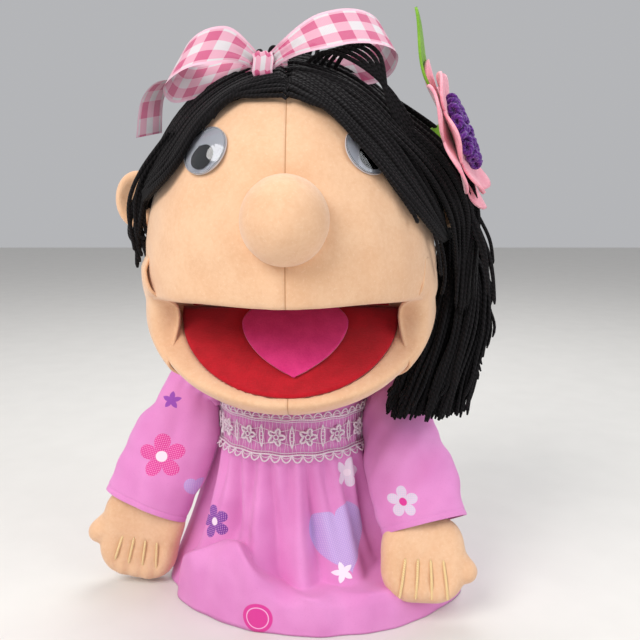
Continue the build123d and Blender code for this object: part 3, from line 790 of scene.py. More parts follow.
def lining(name, tilt, lift, body, node):
    """One half of the mouth's red felt, a D with a slightly dished middle."""
    rows, columns = 30, 61
    r = np.linspace(0.02, 1, rows)[:, None]
    a = np.linspace(0, pi, columns)[None, :]
    x = MOUTH_WIDE * r * np.cos(a)
    d = MOUTH_DEEP * r * np.sin(a) + 1.5
    away = np.sign(lift)
    up = lift - away * 0.2 + away * 1.1 * (1 - r**2) * ramp(d, 2, 20)
    y = HINGE[1] - d * cos(tilt) + up * sin(tilt)
    z = HINGE[2] + d * sin(tilt) + up * cos(tilt)
    points = np.stack([x, y, z], -1)
    points[..., 2] += waves(points, 24, 9) * 0.3
    piece = cloth(points, name, body, "mouth_felt", red, thick=FELT, offset=0)
    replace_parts(piece, node)


lining("upper_mouth_felt", PALATE_TILT, 3.3, "head", "upper_mouth_lining")
lining("lower_mouth_felt", -JAW_DROP, -3.3, "jaw", "lower_mouth_lining")


def tongue():
    """A flat felt tongue with round shoulders and a blunt point."""
    half = curve(((26, 4), (31, 12), (32, 20), (28, 32), (20, 44), (9, 54), (0, 60)), 40)
    rows = np.linspace(0, 1, 22)
    across = np.concatenate([-rows[::-1], rows[1:]])
    x, d = half[:, :1] * across + 3, half[:, 1:] + 0 * across
    up = -2.4 + FELT + 0.9 * np.sin(np.clip(d / 60, 0, 1) * pi) - 0.5 * np.abs(across)
    y = HINGE[1] - d * cos(JAW_DROP) - up * sin(JAW_DROP)
    z = HINGE[2] - d * sin(JAW_DROP) + up * cos(JAW_DROP)
    points = np.stack([x, y, z], -1)
    piece = cloth(points, "tongue_felt", "jaw", "tongue_felt", magenta, thick=FELT, offset=0)
    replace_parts(piece, "tongue")


tongue()


# ---- Nose, ears and neck -----------------------------------------------------------------------
def from_cad(node, voxel, rounds, change):
    """A soft mesh made over a CAD node's form."""
    return reshape(soft(scratch(frame["nodes"][node].data.copy()), voxel, rounds), change)


NOSE, NOSE_R = np.array((0, HEAD_Y - 90.06, 257)), 23


def shape_nose(p):
    """Gathers the ball where it is sewn on."""
    out = unit(p - NOSE)
    angle = np.arctan2(out[:, 0], out[:, 2])
    base = ramp(p[:, 1], NOSE[1] + 2, NOSE[1] + 16)
    p = NOSE + out * NOSE_R * (1, 0.97, 1.02)
    gathers = base * (0.8 + 0.5 * np.sin(angle * 17))
    return p - out * gathers[:, None] + (waves(p, 20, 2) * 0.25)[:, None] * out


half_turn = np.linspace(0, pi, 40)
ball_profile = np.stack([NOSE_R * np.sin(half_turn), NOSE[2] + NOSE_R * np.cos(half_turn)], -1)
ball = revolved(ball_profile, NOSE[1], 72)
nose = place(reshape(applied(ball), shape_nose), "nose", "head", skin_plain)
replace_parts(nose, "nose_cover", "nose_stuffing")

for side, sign in SIDES:
    middle = np.array((sign * 95, -38, 266))
    half_wide, half_high = 14, 18

    def shape_ear(p):
        """Hollows the ear's front and rounds its rim."""
        across = np.hypot((p[:, 0] - middle[0]) / half_wide, (p[:, 2] - middle[2]) / half_high)
        front = ramp(middle[1] - p[:, 1], 1, 4)
        dent = 3.2 * np.exp(-((across / 0.45) ** 2)) * front
        rim = 1.2 * np.exp(-(((across - 0.75) / 0.2) ** 2)) * front
        return p + np.stack([0 * dent, dent - rim, 0 * dent], -1)

    ear_mesh = from_cad(f"{side}_ear", 1.3, 6, shape_ear)
    ear = place(ear_mesh, f"{side}_ear_pad", "head", skin_plain)
    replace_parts(ear, f"{side}_ear")


def cloth_tube(name, body, node, radius, low, high, folds):
    """An upright tube of cloth with soft upright folds."""
    rows, columns = 24, 120
    z = np.linspace(low, high, rows)[:, None]
    a = circle(columns)
    fold = folds * (np.sin(a * 11 + 0.05 * z) + 0.5 * np.sin(a * 17 + 1.3 - 0.03 * z))
    piece = cloth(around(radius + fold * 0.6, a, z), name, body, "skin_fleece", skin_plain, close_v=True)
    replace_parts(piece, node)


cloth_tube("neck_cloth", "head", "neck_cover", 44.2, 141, 200, 0.7)
cloth_tube("hand_sleeve_cloth", "torso", "hand_sleeve", 39.6, 0.5, 138, 0.5)


# ---- Hair --------------------------------------------------------------------------------------
def scalp_cap():
    """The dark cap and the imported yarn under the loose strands."""
    columns, rows = 180, 60
    a = circle(columns)
    t = np.linspace(0, 1, rows)[:, None]
    cap_thick = 3.6
    profile = head_profile(cap_thick)
    length = np.concatenate([[0], np.cumsum(np.linalg.norm(np.diff(profile, axis=0), axis=1))])
    reach = np.zeros(columns)
    for k, angle in enumerate(a):
        line = around(profile[:, 0], angle, profile[:, 1], HEAD_Y)
        kept = (line @ HAIRLINE_NORMAL > HAIRLINE - 1) & (profile[:, 1] > NAPE_Z)
        reach[k] = length[np.argmin(kept) - 1 if not kept.all() else -1]
    reach = (np.roll(reach, 1) + reach + np.roll(reach, -1)) / 3
    s = t * reach
    points = around(np.interp(s, length, profile[:, 0]), a, np.interp(s, length, profile[:, 1]), HEAD_Y)
    tuck = ramp(t, 0.96, 1.0)
    ridge = 0.5 * np.sin(a * 90 + 3 * t)
    points = settle(points, cap_thick + ridge - 3.2 * tuck)
    cap = cloth(points, "scalp_yarn", "head", "wig_cloth", scalp, merge=0.01, close_v=True)
    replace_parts(cap, "wig_cap", "hair_back")


scalp_cap()


def between(first, second, share):
    return np.asarray(first, float) * (1 - share) + np.asarray(second, float) * share


def wisp(points, count, lift, spread=0.0):
    """A strand's path over the head and its lift along it, both wandering a little."""
    path = curve(points, count)
    shift = rng.normal(scale=spread, size=3)
    path = path + shift * np.sin(np.linspace(0, pi, count))[:, None]
    t = np.linspace(0, 1, count)
    return path, lift + 0.7 * np.sin(t * rng.uniform(3, 7) + rng.uniform(0, 6))


def lay(build, points, count, lift, spread=0.0, thick=1.0):
    """Adds a strand that lies on the head."""
    path, lifts = wisp(points, count, lift, spread)
    build.tube(settle(path, lifts), STRAND * thick)


def parting(share):
    """A place along the parting, from the hairline over the crown to the back."""
    angle = radians(-39 + 100 * share)
    return np.array((0, HEAD_Y + POLE_UP_R * sin(angle), POLE_UP + POLE_UP_R * cos(angle)))


def sweep(front, back, share, start):
    """Way points of a strand between the front and back of a family, from the parting."""
    return [parting(start)] + [between(f, b, share) for f, b in zip(front, back)]


def keep_off(points, lift):
    """Moves points out until they are at least lift off the head."""
    gap, way = head_gap(points)
    return points + way * np.maximum(lift - gap, 0)[..., None]


def hang(build, name, body, node):
    """Makes gathered yarn one piece in place of a CAD node."""
    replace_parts(build.make(name, body, "hair_yarn", black_yarn), node)


LEFT_FRONT = ((24, -101, 313), (44, -105, 292), (66, -98, 266), (86, -76, 246), (103, -42, 240))
LEFT_BACK = ((40, -20, 330), (70, -14, 312), (92, -12, 285), (101, -14, 266), (106, -18, 254))
RIGHT_FRONT = (
    (-28, -90, 322), (-46, -93, 306), (-62, -94, 284), (-82, -74, 270), (-99, -32, 262), (-84, 25, 236),
    (-45, 52, 222), (0, 60, 218), (45, 52, 222), (82, 24, 232), (104, -14, 248),
)
RIGHT_BACK = (
    (-30, -20, 338), (-58, -10, 322), (-80, 8, 300), (-80, 26, 282), (-66, 40, 274), (-48, 50, 268),
    (-20, 60, 264), (10, 62, 262), (45, 52, 262), (78, 26, 262), (104, -14, 252),
)
# Front and back of each sweep to the tie, its strands, their crowding to the front, how far back along the
# parting they start, their lowest and highest lift, and the points of each.
SWEEPS = {
    "left": (LEFT_FRONT, LEFT_BACK, 150, 1.15, 0.62, 4.6, 7.2, 30),
    "right": (RIGHT_FRONT, RIGHT_BACK, 190, 1.1, 0.66, 4.4, 7.0, 56),
}
FRINGE_SHARE = 0.22  # the front strands of a sweep are its fringe

fringes = {"left": Build(), "right": Build()}
hair = Build()
for side, (front, back, strands, crowding, reach, low, high, count) in SWEEPS.items():
    for share in np.linspace(0, 1, strands) ** crowding:
        start = 0.02 + reach * share + rng.uniform(-0.01, 0.01)
        path, lifts = wisp(sweep(front, back, share, start), count, rng.uniform(low, high), 1.6)
        end = ramp(np.linspace(0, 1, count), 0.86, 1.0)[:, None]
        near_tie = TIE + (rng.uniform(-6, 6), rng.uniform(-6, 6), 3 + rng.uniform(0, 3))
        laid = settle(path, lifts) * (1 - end) + (path * 0.2 + near_tie * 0.8) * end
        laid[0] -= (0, 0, 2.5)
        target = fringes[side] if share < FRINGE_SHARE else hair
        target.tube(laid, STRAND * rng.uniform(0.9, 1.1))

for k, share in enumerate(np.linspace(0, 1, 70)):  # the crown's back, down to the sweep round the back
    sign = 1 if k % 2 else -1
    top = parting(0.62 + 0.38 * share)
    middle, low = (sign * 40 + 20, 38, 292), (sign * 20 + 45, 46, 268)
    points = [top, top + (sign * 18, 6, -12), middle, low, (88, 20, 256), (104, -14, 250)]
    lay(hair, points, 34, rng.uniform(4.4, 6.6), 2.0)
for share in np.linspace(0, 1, 190):  # the back of the crown, down to the sweep
    angle = radians(70 + 220 * share)
    top = parting(0.40 + 0.58 * (1 - abs(angle - pi) / radians(110)))
    low = around(88, angle, 262 + rng.uniform(-3, 3), HEAD_Y)
    middle = (top + low) / 2 + around(14, angle, 16)
    lay(hair, (top, middle, low), 20, rng.uniform(4.2, 5.6), 1.2, 1.1)
for share in np.linspace(0, 1, 60):  # short yarn at the nape
    angle = radians(100 + 160 * share)
    high = around(92, angle, 236, HEAD_Y)
    low = around(84, angle + 0.15, 196 + rng.uniform(-4, 4), HEAD_Y)
    lay(hair, (high, (high + low) / 2 + (0, 0, 2), low), 14, rng.uniform(3.6, 5.2), 1.0)

# Loose yarn that falls from the crown over the left ear to the tie.
EAR_FRONT = (
    (34, -86, 322), (62, -86, 300), (84, -76, 279), (97, -66, 258), (101, -60, 238), (102, -52, 208),
)
EAR_BACK = (
    (40, -40, 334), (78, -46, 311), (100, -50, 290), (110, -51, 266), (114, -47, 244), (116, -42, 212),
)
for k in range(84):
    share = rng.uniform(0, 1)
    way_points = sweep(EAR_FRONT, EAR_BACK, share, 0.05 + 0.5 * share)
    way_points[-1] = way_points[-1] + (0, 0, rng.uniform(-14, 14))
    path, lifts = wisp(way_points, 40, rng.uniform(5.5, 8.5), 3.2)
    path[0] -= (0, 0, 2.5)
    hair.tube(keep_off(path, lifts), STRAND * rng.uniform(0.9, 1.1))
for k in range(7):  # free ends below the flower
    drift = rng.uniform(-4, 4, size=3)
    path = np.array((
        (78, -66, 300), (98, -60, 282), (107, -58, 262), (116 + k, -57, 246 - 3 * k),
        (119 + 1.2 * k, -56, 236 - 6 * k),
    ))
    path += np.array((0, 0.4, 0.7, 1, 1))[:, None] * drift
    hair.tube(curve(path, 26), STRAND * 0.95)
for k in range(5):  # strands that bow up over the ribbon
    points = (
        (4 + 5 * k, -72, 336), (20 + 4 * k, -84, 346 + k), (38 + 3 * k, -88, 340 + k),
        (56, -86, 326 - 2 * k), (70, -80, 308 - 3 * k),
    )
    hair.tube(curve(points, 26), STRAND)
for k in range(26):  # short yarn over the front of the parting
    side, front = ("left", LEFT_FRONT) if k % 2 else ("right", RIGHT_FRONT)
    start = parting(-0.07 + 0.12 * rng.uniform(0, 1))
    last = between(front[0], front[1], rng.uniform(0.6, 1.0))
    points = (start, between(start, front[0], 0.5), front[0], last)
    path, lifts = wisp(points, 18, rng.uniform(4.5, 6.0), 0.8)
    laid = settle(path, lifts)
    laid[[0, -1]] -= (0, 0, 2)
    fringes[side].tube(laid, STRAND)

STRAYS = (
    ((40, -103, 292), (54, -104, 279), (63, -102, 269), (68, -99, 259)),
    ((46, -102, 289), (60, -101, 274), (68, -98, 264), (71, -96, 254)),
    ((74, -92, 262), (84, -82, 248), (90, -74, 234), (92, -71, 222)),
    ((84, -78, 254), (92, -66, 240), (96, -60, 224), (95, -58, 208)),
)
for stray in STRAYS:
    lay(fringes["left"], stray, 20, 5.2, thick=0.95)
for side, build in fringes.items():
    hang(build, f"fringe_{side}_yarn", "head", f"fringe_{side}")
hang(hair, "swept_yarn", "head", "ponytail_root")

lock = Build()
for k in range(15):  # wavy strands in front of the right ear
    x, y, wave = rng.uniform(-5, 5), rng.uniform(-3, 3), rng.uniform(0, tau)
    low_end = (-91 + 0.3 * k, -60, 226 + 3.5 * (k % 8))
    points = curve(((-62, -80, 304), (-78, -72, 286), (-88, -66, 266), (-91, -62, 248), low_end), 28)
    points[:, 0] += x + 1.6 * np.sin(np.linspace(0, 3 * pi, 28) + wave) * np.linspace(0.3, 1, 28)
    points[:, 1] += y
    lock.tube(points, STRAND)
hang(lock, "loose_lock_yarn", "head", "loose_lock")

knot = Build()
for k in range(22):  # small loops that stand up behind the bow
    base = np.array((rng.uniform(-26, 10), rng.uniform(-46, -28), 338))
    high = 350 + 9 * (base[0] + 26) / 36 + rng.uniform(-3, 3)
    turn = rng.uniform(0, pi)
    half = np.array((cos(turn), sin(turn), 0)) * 2.6
    top = np.array((base[0] + rng.uniform(-2, 5), base[1], high))
    below = top - (0, 0, 4)
    knot.tube(curve((base - half, below - half, top, below + half, base + half), 20), STRAND * 1.1)
hang(knot, "topknot_yarn", "head", "topknot")

tail = Build()
low_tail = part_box("ponytail")[0][2] / MM
for k in range(170):  # gathered in the tie, and spread and ragged at the tips
    r, a = sqrt(rng.uniform(0, 1)), rng.uniform(0, tau)
    x, y = r * cos(a), r * sin(a)
    tip = low_tail - 20 + rng.uniform(0, 1) ** 2 * 20
    points = (
        TIE + (x * 6.5, y * 6.5, 4), TIE + (x * 9, y * 8, -8), (108 + x * 17, -30 + y * 12, 218),
        (104 + x * 22, -36 + y * 13, 186), (94 + x * 25, -42 + y * 12, 156), (86 + x * 26, -47 + y * 11, tip),
    )
    bend = np.sin(np.linspace(0, rng.uniform(2, 5) * pi, 26) + rng.uniform(0, 6)) * np.linspace(0, 1.6, 26)
    tail.tube(curve(points, 26) + bend[:, None] * (1, 0.6, 0), STRAND)
for k in range(9):  # kinked strands that have come loose on the outer side
    points = (
        TIE + (4, 2, 0), (122 + k, -26, 232 - 3 * k), (128 - k, -30 + k, 205 - 4 * k),
        (130 - 2 * k, -34, 178 - 6 * k),
    )
    bend = np.sin(np.linspace(0, 5 * pi, 24) + k) * np.linspace(0, 2.2, 24)
    tail.tube(curve(points, 24) + bend[:, None] * (1, 1, 0.5), STRAND * 0.8)
hang(tail, "ponytail_yarn", "ponytail", "ponytail")


# ---- Bow ---------------------------------------------------------------------------------------
def ribbon_loop(side, centre, way, length, opening, drop, lean):
    """A loop of ribbon along a way, pinched at the knot and full at its far end. It reaches 1.7 times its
    length and is nearly two openings thick, drop makes its end sink, and lean tips its top edge back."""
    way = unit(np.array(way, float))
    wide = np.array((0, lean, 1.0))
    wide = unit(wide - way * (wide @ way))
    out = np.cross(wide, way)
    if out[1] > 0:
        out = -out
    count, columns = 90, 15
    t = np.linspace(0, 1, count)
    along = length * (1 - np.cos(tau * t)) * (0.92 + 0.08 * np.cos(tau * t))
    across = opening * np.sin(tau * t) * np.sqrt(np.abs(np.sin(pi * t)))
    full = ramp(along, 0, length * 0.9)
    v = np.linspace(-1, 1, columns)
    width = RIBBON / 2 * (0.34 + 0.66 * full)
    ripple = (1 - full)[:, None] * 1.2 * np.sin(v * 7) + 0.5 * np.sin(t * 23)[:, None] * v
    points = centre + along[:, None, None] * way + (width[:, None] * v)[..., None] * wide
    points += (across[:, None] + ripple)[..., None] * out
    sink = drop * (along / (2 * length)) ** 2 + 7 * ramp(-across, 0, opening)
    points[..., 2] -= sink[:, None]
    arc_length = np.linalg.norm(np.diff(points[:, columns // 2], axis=0), axis=1).sum()
    cell = (arc_length / (count - 1), RIBBON / (columns - 1))
    piece = cloth(points, f"bow_{side}_ribbon", "head", "gingham_ribbon", ribbon, uv_scale=cell)
    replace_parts(piece, f"bow_{side}_loop")


KNOT = np.array((-13, -81, 339))
ribbon_loop("right", KNOT + (-3, 0, 1), (-0.90, 0, 0.44), 31, 15, 38, 0.3)
ribbon_loop("left", KNOT + (3, 0, 1), (0.92, 0.05, 0.40), 43, 15, 22, 0.55)


def knot_band():
    """The ribbon's turn round the middle of the bow."""
    t = circle(40)
    v = np.linspace(-1, 1, 9)
    bulge = 1 + 0.12 * np.cos(v * pi / 2)
    y, z = (
        size * (np.sign(way) * np.abs(way) ** 0.7)[:, None] * bulge
        for size, way in ((5.6, np.cos(t)), (7.0, np.sin(t)))
    )
    parts = v * 5.5 + 0.4 * np.sin(t * 5)[:, None], y, z + 0.6 * np.sin(v * 9)
    points = KNOT + np.stack(parts, -1)
    piece = cloth(
        points, "bow_knot_ribbon", "head", "gingham_ribbon", ribbon, close_u=True, uv_scale=(1.3, 3.1)
    )
    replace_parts(piece, "bow_knot")


knot_band()


def bow_tail():
    """The loose end that hangs on the right."""
    line = curve(((-58, -74, 334), (-69, -73, 332), (-77, -71, 322), (-80, -69, 303)), 36)
    v = np.linspace(-1, 1, 11)
    wide = unit(np.array((0.62, 0.75, 0.2)))
    width = np.linspace(6.5, 9.5, 36)
    points = line[:, None] + (width[:, None] * v)[..., None] * wide
    piece = cloth(points, "bow_tail_ribbon", "head", "gingham_ribbon", ribbon, uv_scale=(1.2, 2.5))
    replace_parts(piece, "bow_tail")


bow_tail()

# ---- Flower ------------------------------------------------------------------------------------
FLOWER = np.array((97.0, -50.0, 303.0))
FLOWER_OUT = unit(np.array((0.88, -0.28, 0.38)))
FLOWER_UP = np.array((-0.4, 0, 0.92))
FLOWER_UP = unit(FLOWER_UP - FLOWER_OUT * (FLOWER_UP @ FLOWER_OUT))
FLOWER_SIDE = np.cross(FLOWER_OUT, FLOWER_UP)


def on_flower(x, y, lift):
    """Points on the flower's plane: up it, across it and off it."""
    return FLOWER + x[..., None] * FLOWER_UP + y[..., None] * FLOWER_SIDE + lift[..., None] * FLOWER_OUT


def petal_layer(name, size, lift, turn, cup):
    """One felt layer with six round petals that curl a little."""
    rows, columns = 26, 180
    r = np.linspace(0.02, 1, rows)[:, None]
    a = circle(columns)
    local = ((a - turn + pi / 6) % (pi / 3)) - pi / 6
    petal_far, petal_r = 29, 18  # the middle of a round petal from the flower's, and its radius
    chord = np.sqrt(np.maximum(petal_r**2 - (petal_far * np.sin(local)) ** 2, 0))
    rho = r * ((petal_far * np.cos(local) + chord) * size)
    wave = np.cos(6 * (a - turn))
    height = lift + cup * r**2.2 + 2.2 * r**2 * wave + r * np.sin(2 * a + turn)
    points = on_flower(rho * np.cos(a), rho * np.sin(a), height)
    piece = cloth(points, name, "head", "petal_felt", petal, thick=FELT, merge=0.001, close_v=True)
    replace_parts(piece, name.replace("flower_layer", "flower_petals"))


petal_layer("flower_layer_back", 1.0, 1.0, 0.0, 1.0)
petal_layer("flower_layer_front", 0.86, 3.4, radians(30), 3.5)

pad = Build()
pad.tube([FLOWER - FLOWER_OUT * (20 - 1.9 * k) for k in range(11)], 10.5, 32)
piece = pad.make("flower_pad_felt", "head", "leaf_felt", green)
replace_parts(piece, "flower_pad")

centre = Build()
for ring, (count, radius) in enumerate(((1, 0), (6, 8), (11, 15), (15, 20))):  # curls in each ring
    for k in range(count):
        a = k * tau / count + ring * 0.4
        bx, by = radius * cos(a), radius * sin(a)
        t = circle(16)
        tilt = rng.uniform(0, tau)
        lx, ly = 3.0 * np.cos(t) * cos(tilt), 3.0 * np.cos(t) * sin(tilt)
        lift = 5.5 + (3.6 - 0.05 * radius) * (1 + np.sin(t)) * 0.9
        centre.tube(on_flower(bx + lx, by + ly, lift), 1.6, closed=True)
piece = centre.make("flower_curls", "head", "purple_yarn", purple)
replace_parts(piece, "flower_centre")


def leaf():
    """A long felt leaf behind the petals, folded a little along its rib."""
    s = np.linspace(-18, 76, 60)[:, None]
    v = np.linspace(-1, 1, 13)
    share = (s + 18) / 94
    half = 12.5 * np.sin(np.clip(share, 0.001, 0.999) * pi) ** 0.8
    middle = 3.0 * np.sin(share * pi) + 6 * share
    lift = -2.2 + 1.5 * np.abs(v) * (half / 12) + np.sin(share * 5) + 11 * ramp(s, 36, 80)
    points = on_flower(s, middle + v * half, lift)
    piece = cloth(points, "flower_leaf_felt", "head", "leaf_felt", green, thick=FELT)
    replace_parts(piece, "flower_leaf")


leaf()

# ---- Dress -------------------------------------------------------------------------------------
SKIRT_PRINTS = (
    ("flower", (-67, -60, 57), (-0.5, -0.85, 0.2), (0, 0, 1), 11, "7A35A0", 0.4),
    ("dot", (-23, -90, 11), (-0.3, -0.95, 0.2), (0, 0, 1), 9.5, "DE3F9A", 0.0),
    ("heart", (37, -76, 50), (0.2, -0.95, 0.25), (-0.25, 0, 1), 19, "BFA0DE", 0.0),
    ("star", (36, -80, 34), (0.2, -0.95, 0.25), (0, 0, 1), 7, "F6EAF6", 0.3),
    ("flower", (44, -58, 92), (0.4, -0.9, 0.2), (0, 0, 1), 10, "E9DDEC", 0.9),
    ("heart", (96, 10, 45), (1, 0.1, 0.3), (0, 0, 1), 10, "DE3F9A", 0.0),
    ("flower", (60, 60, 30), (0.5, 0.8, 0.3), (0, 0, 1), 12, "8E3FA8", 0.2),
    ("star", (10, 66, 55), (0, 1, 0.3), (0, 0, 1), 8, "F6EAF6", 0.1),
    ("flower", (-40, 55, 35), (-0.4, 0.9, 0.3), (0, 0, 1), 11, "DE3F9A", 0.7),
    ("dot", (-78, 5, 30), (-1, 0, 0.3), (0, 0, 1), 9, "C49AE0", 0.0),
)
SLEEVE_PRINTS = {
    "right": (
        ("flower", (-91, -40, 97), (-0.35, -0.93, 0.1), (0.2, 0, 1), 15, "DE3F9A", 0.25),
        ("heart", (-70, -44, 73), (-0.1, -1, 0.1), (0.2, 0, 1), 6, "C9A6E6", 0.0),
        ("star", (-86, -30, 134), (-0.5, -0.85, 0.2), (0.2, 0, 1), 6, "9A4FB4", 0.2),
        ("flower", (-80, 12, 95), (-0.6, 0.8, 0.1), (0, 0, 1), 11, "8E3FA8", 0.2),
    ),
    "left": (
        ("flower", (72, -70, 77), (0.1, -1, 0.1), (0, 0, 1), 9.5, "D9CBE0", 0.1),
        ("heart", (82, 0, 110), (0.7, 0.7, 0.2), (0, 0, 1), 8, "DE3F9A", 0.0),
        ("dot", (92, -26, 100), (1, 0, 0.2), (0, 0, 1), 6, "C9A6E6", 0.0),
    ),
}
skirt_cotton = printed_cotton("dress_cotton_skirt", SKIRT_PRINTS, reach=40)
bodice_cotton = printed_cotton("dress_cotton_bodice", ())
sleeve_cotton = {
    side: printed_cotton(f"dress_cotton_{side}_sleeve", prints) for side, prints in SLEEVE_PRINTS.items()
}


def bodice():
    """The bodice, with its neckline dipping in front."""
    rows, columns = 36, 200
    a = circle(columns)
    t = np.linspace(0, 1, rows)[:, None]
    front = 0.5 + 0.5 * np.cos(a)
    low, top = GATHERS_Z - 1, 152 - 14 * ramp(front, 0.35, 0.95)
    z = low + (top - low) * t
    gather = 0.5 * np.sin(a * 34) * (1 - ramp(t, 0.1, 0.5)) + 0.45 * np.sin(a * 9 + 2 * t)
    r = CHEST_R - 0.5 * t + gather - 0.9 * ramp(t, 0.95, 1.0)
    points = around(r, a, z)
    piece = cloth(points, "dress_bodice_cloth", "torso", "dress_cotton", bodice_cotton, close_v=True)
    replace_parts(piece, "dress_bodice")


bodice()


def skirt():
    """The gathered skirt: it falls from the bodice, buckles over a fold in front and stands on its hem."""
    rows, columns = 90, 420
    s = np.linspace(0, 1, rows)[:, None]
    a = circle(columns)
    side = np.degrees(np.where(a > pi, a - tau, a))  # degrees from the front, to the left
    front = ramp(78 - np.abs(side), 0, 26)
    crest = 24 + 30 * np.exp(-(((side + 32) / np.where(side < -32, 26, 12)) ** 2)) + 7 * ramp(side, 30, 60)
    hem_x, hem_y, hem_wide, hem_deep = 16, -8, 102.5, 80.5
    # Plain fall: from the gathers straight down to the hem, a little hollow.
    plain_share = s**1.35
    plain_z = GATHERS_Z * (1 - s) ** 0.95
    # Fold in front: down to a shelf, up over the crest and down to the hem.
    knots = (0, 0.2, 0.42, 0.58, 0.68, 0.76, 0.84, 0.92, 1.0)
    fold_share = np.interp(s, knots, (0, 0.12, 0.26, 0.37, 0.46, 0.84, 0.97, 0.995, 1.0))
    fall = np.interp(s, knots, (1, 0.72, 0.42, 0.16, 0.02, 0, 0, 0, 0))
    over = np.interp(s, knots, (0, 0.0, 0.12, 0.55, 0.80, 1.0, 0.80, 0.42, 0.0))
    fold_z = GATHERS_Z * fall + crest * over
    share = plain_share * (1 - front) + fold_share * front
    z = plain_z * (1 - front) + fold_z * front
    gathers = np.sin(a * 26 + 0.6 * np.sin(3 * a)) * ramp(s, 0, 0.06) * (1 - 0.75 * ramp(s, 0.2, 0.8))
    folds = np.sin(a * 11 + 1.2 + 1.5 * np.sin(2 * a + 0.4) + 0.7 * np.sin(5 * a)) * ramp(s, 0.02, 0.4)
    sway = np.sin(a * 5 + 0.7) * ramp(s, 0.2, 0.9)
    quiet = 1 - 0.8 * front * ramp(s, 0.72, 0.86)
    bulge = (2.2 * gathers + 5.6 * folds * quiet + 1.8 * sway * quiet) * (1 - 0.55 * ramp(s, 0.9, 1.0))
    wide = CHEST_R + (hem_wide - CHEST_R) * share
    deep = CHEST_R + (hem_deep - CHEST_R) * share
    x = hem_x * share + (wide + bulge) * np.sin(a)
    y = hem_y * share - (deep + bulge) * np.cos(a)
    z = z + 0.8 * folds * ramp(s, 0.3, 0.6) * (1 - ramp(s, 0.85, 1.0))
    points = np.stack([x, y, np.maximum(z, 0.2)], -1)
    for _ in range(3):  # eases the knots of the fall
        points[1:-1] = points[1:-1] * 0.4 + (points[:-2] + points[2:]) * 0.3
    piece = cloth(
        points, "dress_skirt_cloth", "torso", "dress_cotton", skirt_cotton, thick=0.7, close_v=True
    )
    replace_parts(piece, "dress_skirt")


skirt()


def lace():
    """Lace round the bodice: two scalloped edges, two cords, a net and a row of small flowers."""
    build = Build()
    low, middle, high = 104.2, 116.0, 127.4  # heights of the lower cord, the flowers and the upper cord
    radius = CHEST_R + 1.9

    def thread(angle, z, thick, lift=0.0, sides=5, closed=False):
        """A thread at angles and heights on the bodice, let out over the gathers below it."""
        lift = lift + 0.7 * np.maximum(GATHERS_Z + 2 - (z + 0 * angle), 0)
        build.tube(around(radius + lift, angle, z), thick, sides, closed)

    full = circle(240)
    for z, thick in ((low, 0.55), (high, 0.55), (low + 1.4, 0.3), (high - 1.4, 0.3)):
        thread(full, z + 0.3 * np.sin(full * 16), thick, closed=True)
    scallops = 48
    for k in range(scallops):
        t = np.linspace(0, 1, 9)
        a = (k + t) * tau / scallops
        arch = np.sin(t * pi) ** 0.7
        thread(a, low - 3.8 * arch, 0.5, 0.15)
        thread(a, high + 4.0 * arch, 0.5, 0.15)
        thread(a, low - 1.7 * arch, 0.28, sides=4)
        thread(a, high + 1.9 * arch, 0.28, sides=4)
    flowers = 16
    half_step = tau / flowers / 2
    for k in range(flowers):
        centre_a = (2 * k + 1) * half_step
        t = circle(40)
        r = 4.4 + 1.4 * np.cos(5 * t)
        thread(centre_a + r * np.cos(t) / radius, middle + r * np.sin(t), 0.75, 0.4, closed=True)
        t = t[::3]
        thread(centre_a + 1.5 * np.cos(t) / radius, middle + 1.5 * np.sin(t), 0.45, 0.5, closed=True)
        reach = np.linspace(1.5, 4.4, 4)
        for spoke in range(5):
            q = spoke * tau / 5 + 0.3
            thread(centre_a + reach * cos(q) / radius, middle + reach * sin(q), 0.5, 0.3, sides=4)
        between_a = 2 * k * half_step
        t = np.linspace(-1, 1, 9)
        for sway in (-1, 1):
            thread(between_a + sway * 1.3 * np.cos(t * pi / 2) / radius, middle + 7.6 * t, 0.5, 0.1)
        for step in range(-2, 3):
            thread(between_a + np.linspace(-1.2, 1.2, 3) / radius, middle + step * 2.6, 0.3, sides=4)
        line = np.linspace(0, 1, 7)
        for start, sway in ((between_a, 1), (centre_a, -1)):
            for rise in (-1, 1):
                z = middle + rise * (4.2 + sway * 2.6 * (0.5 - line))
                thread(start + half_step * line, z, 0.24, sides=4)
    net = 64
    up = np.linspace(low, high, 5)
    for k in range(net):
        a = k * tau / net + np.linspace(0, 0.06, 5)
        thread(a, up, 0.16, -0.25, sides=4)
        thread(a[::-1], up, 0.16, -0.25, sides=4)
    piece = build.make("lace_band", "torso", "lace", lace_thread)
    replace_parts(piece, "lace_trim")


lace()


# ---- Arms --------------------------------------------------------------------------------------
def limb(rings, rows, columns):
    """Points of a soft tube through rings of (centre, long axis, short axis); u runs along it."""
    centre, long_axis, short_axis = (curve(part, rows)[:, None] for part in zip(*rings))
    a = circle(columns)
    points = centre + long_axis * np.cos(a)[:, None] + short_axis * np.sin(a)[:, None]
    return points, a, centre


CUFFS = {"right": np.array((-101.0, -22, 60)), "left": np.array((85.0, -53, 60))}
FINGERTIPS = {"right": np.array((-113.0, -20, 4)), "left": np.array((83.0, -76, 15))}
FINGER_LINES = (-14, -5, 4, 13)


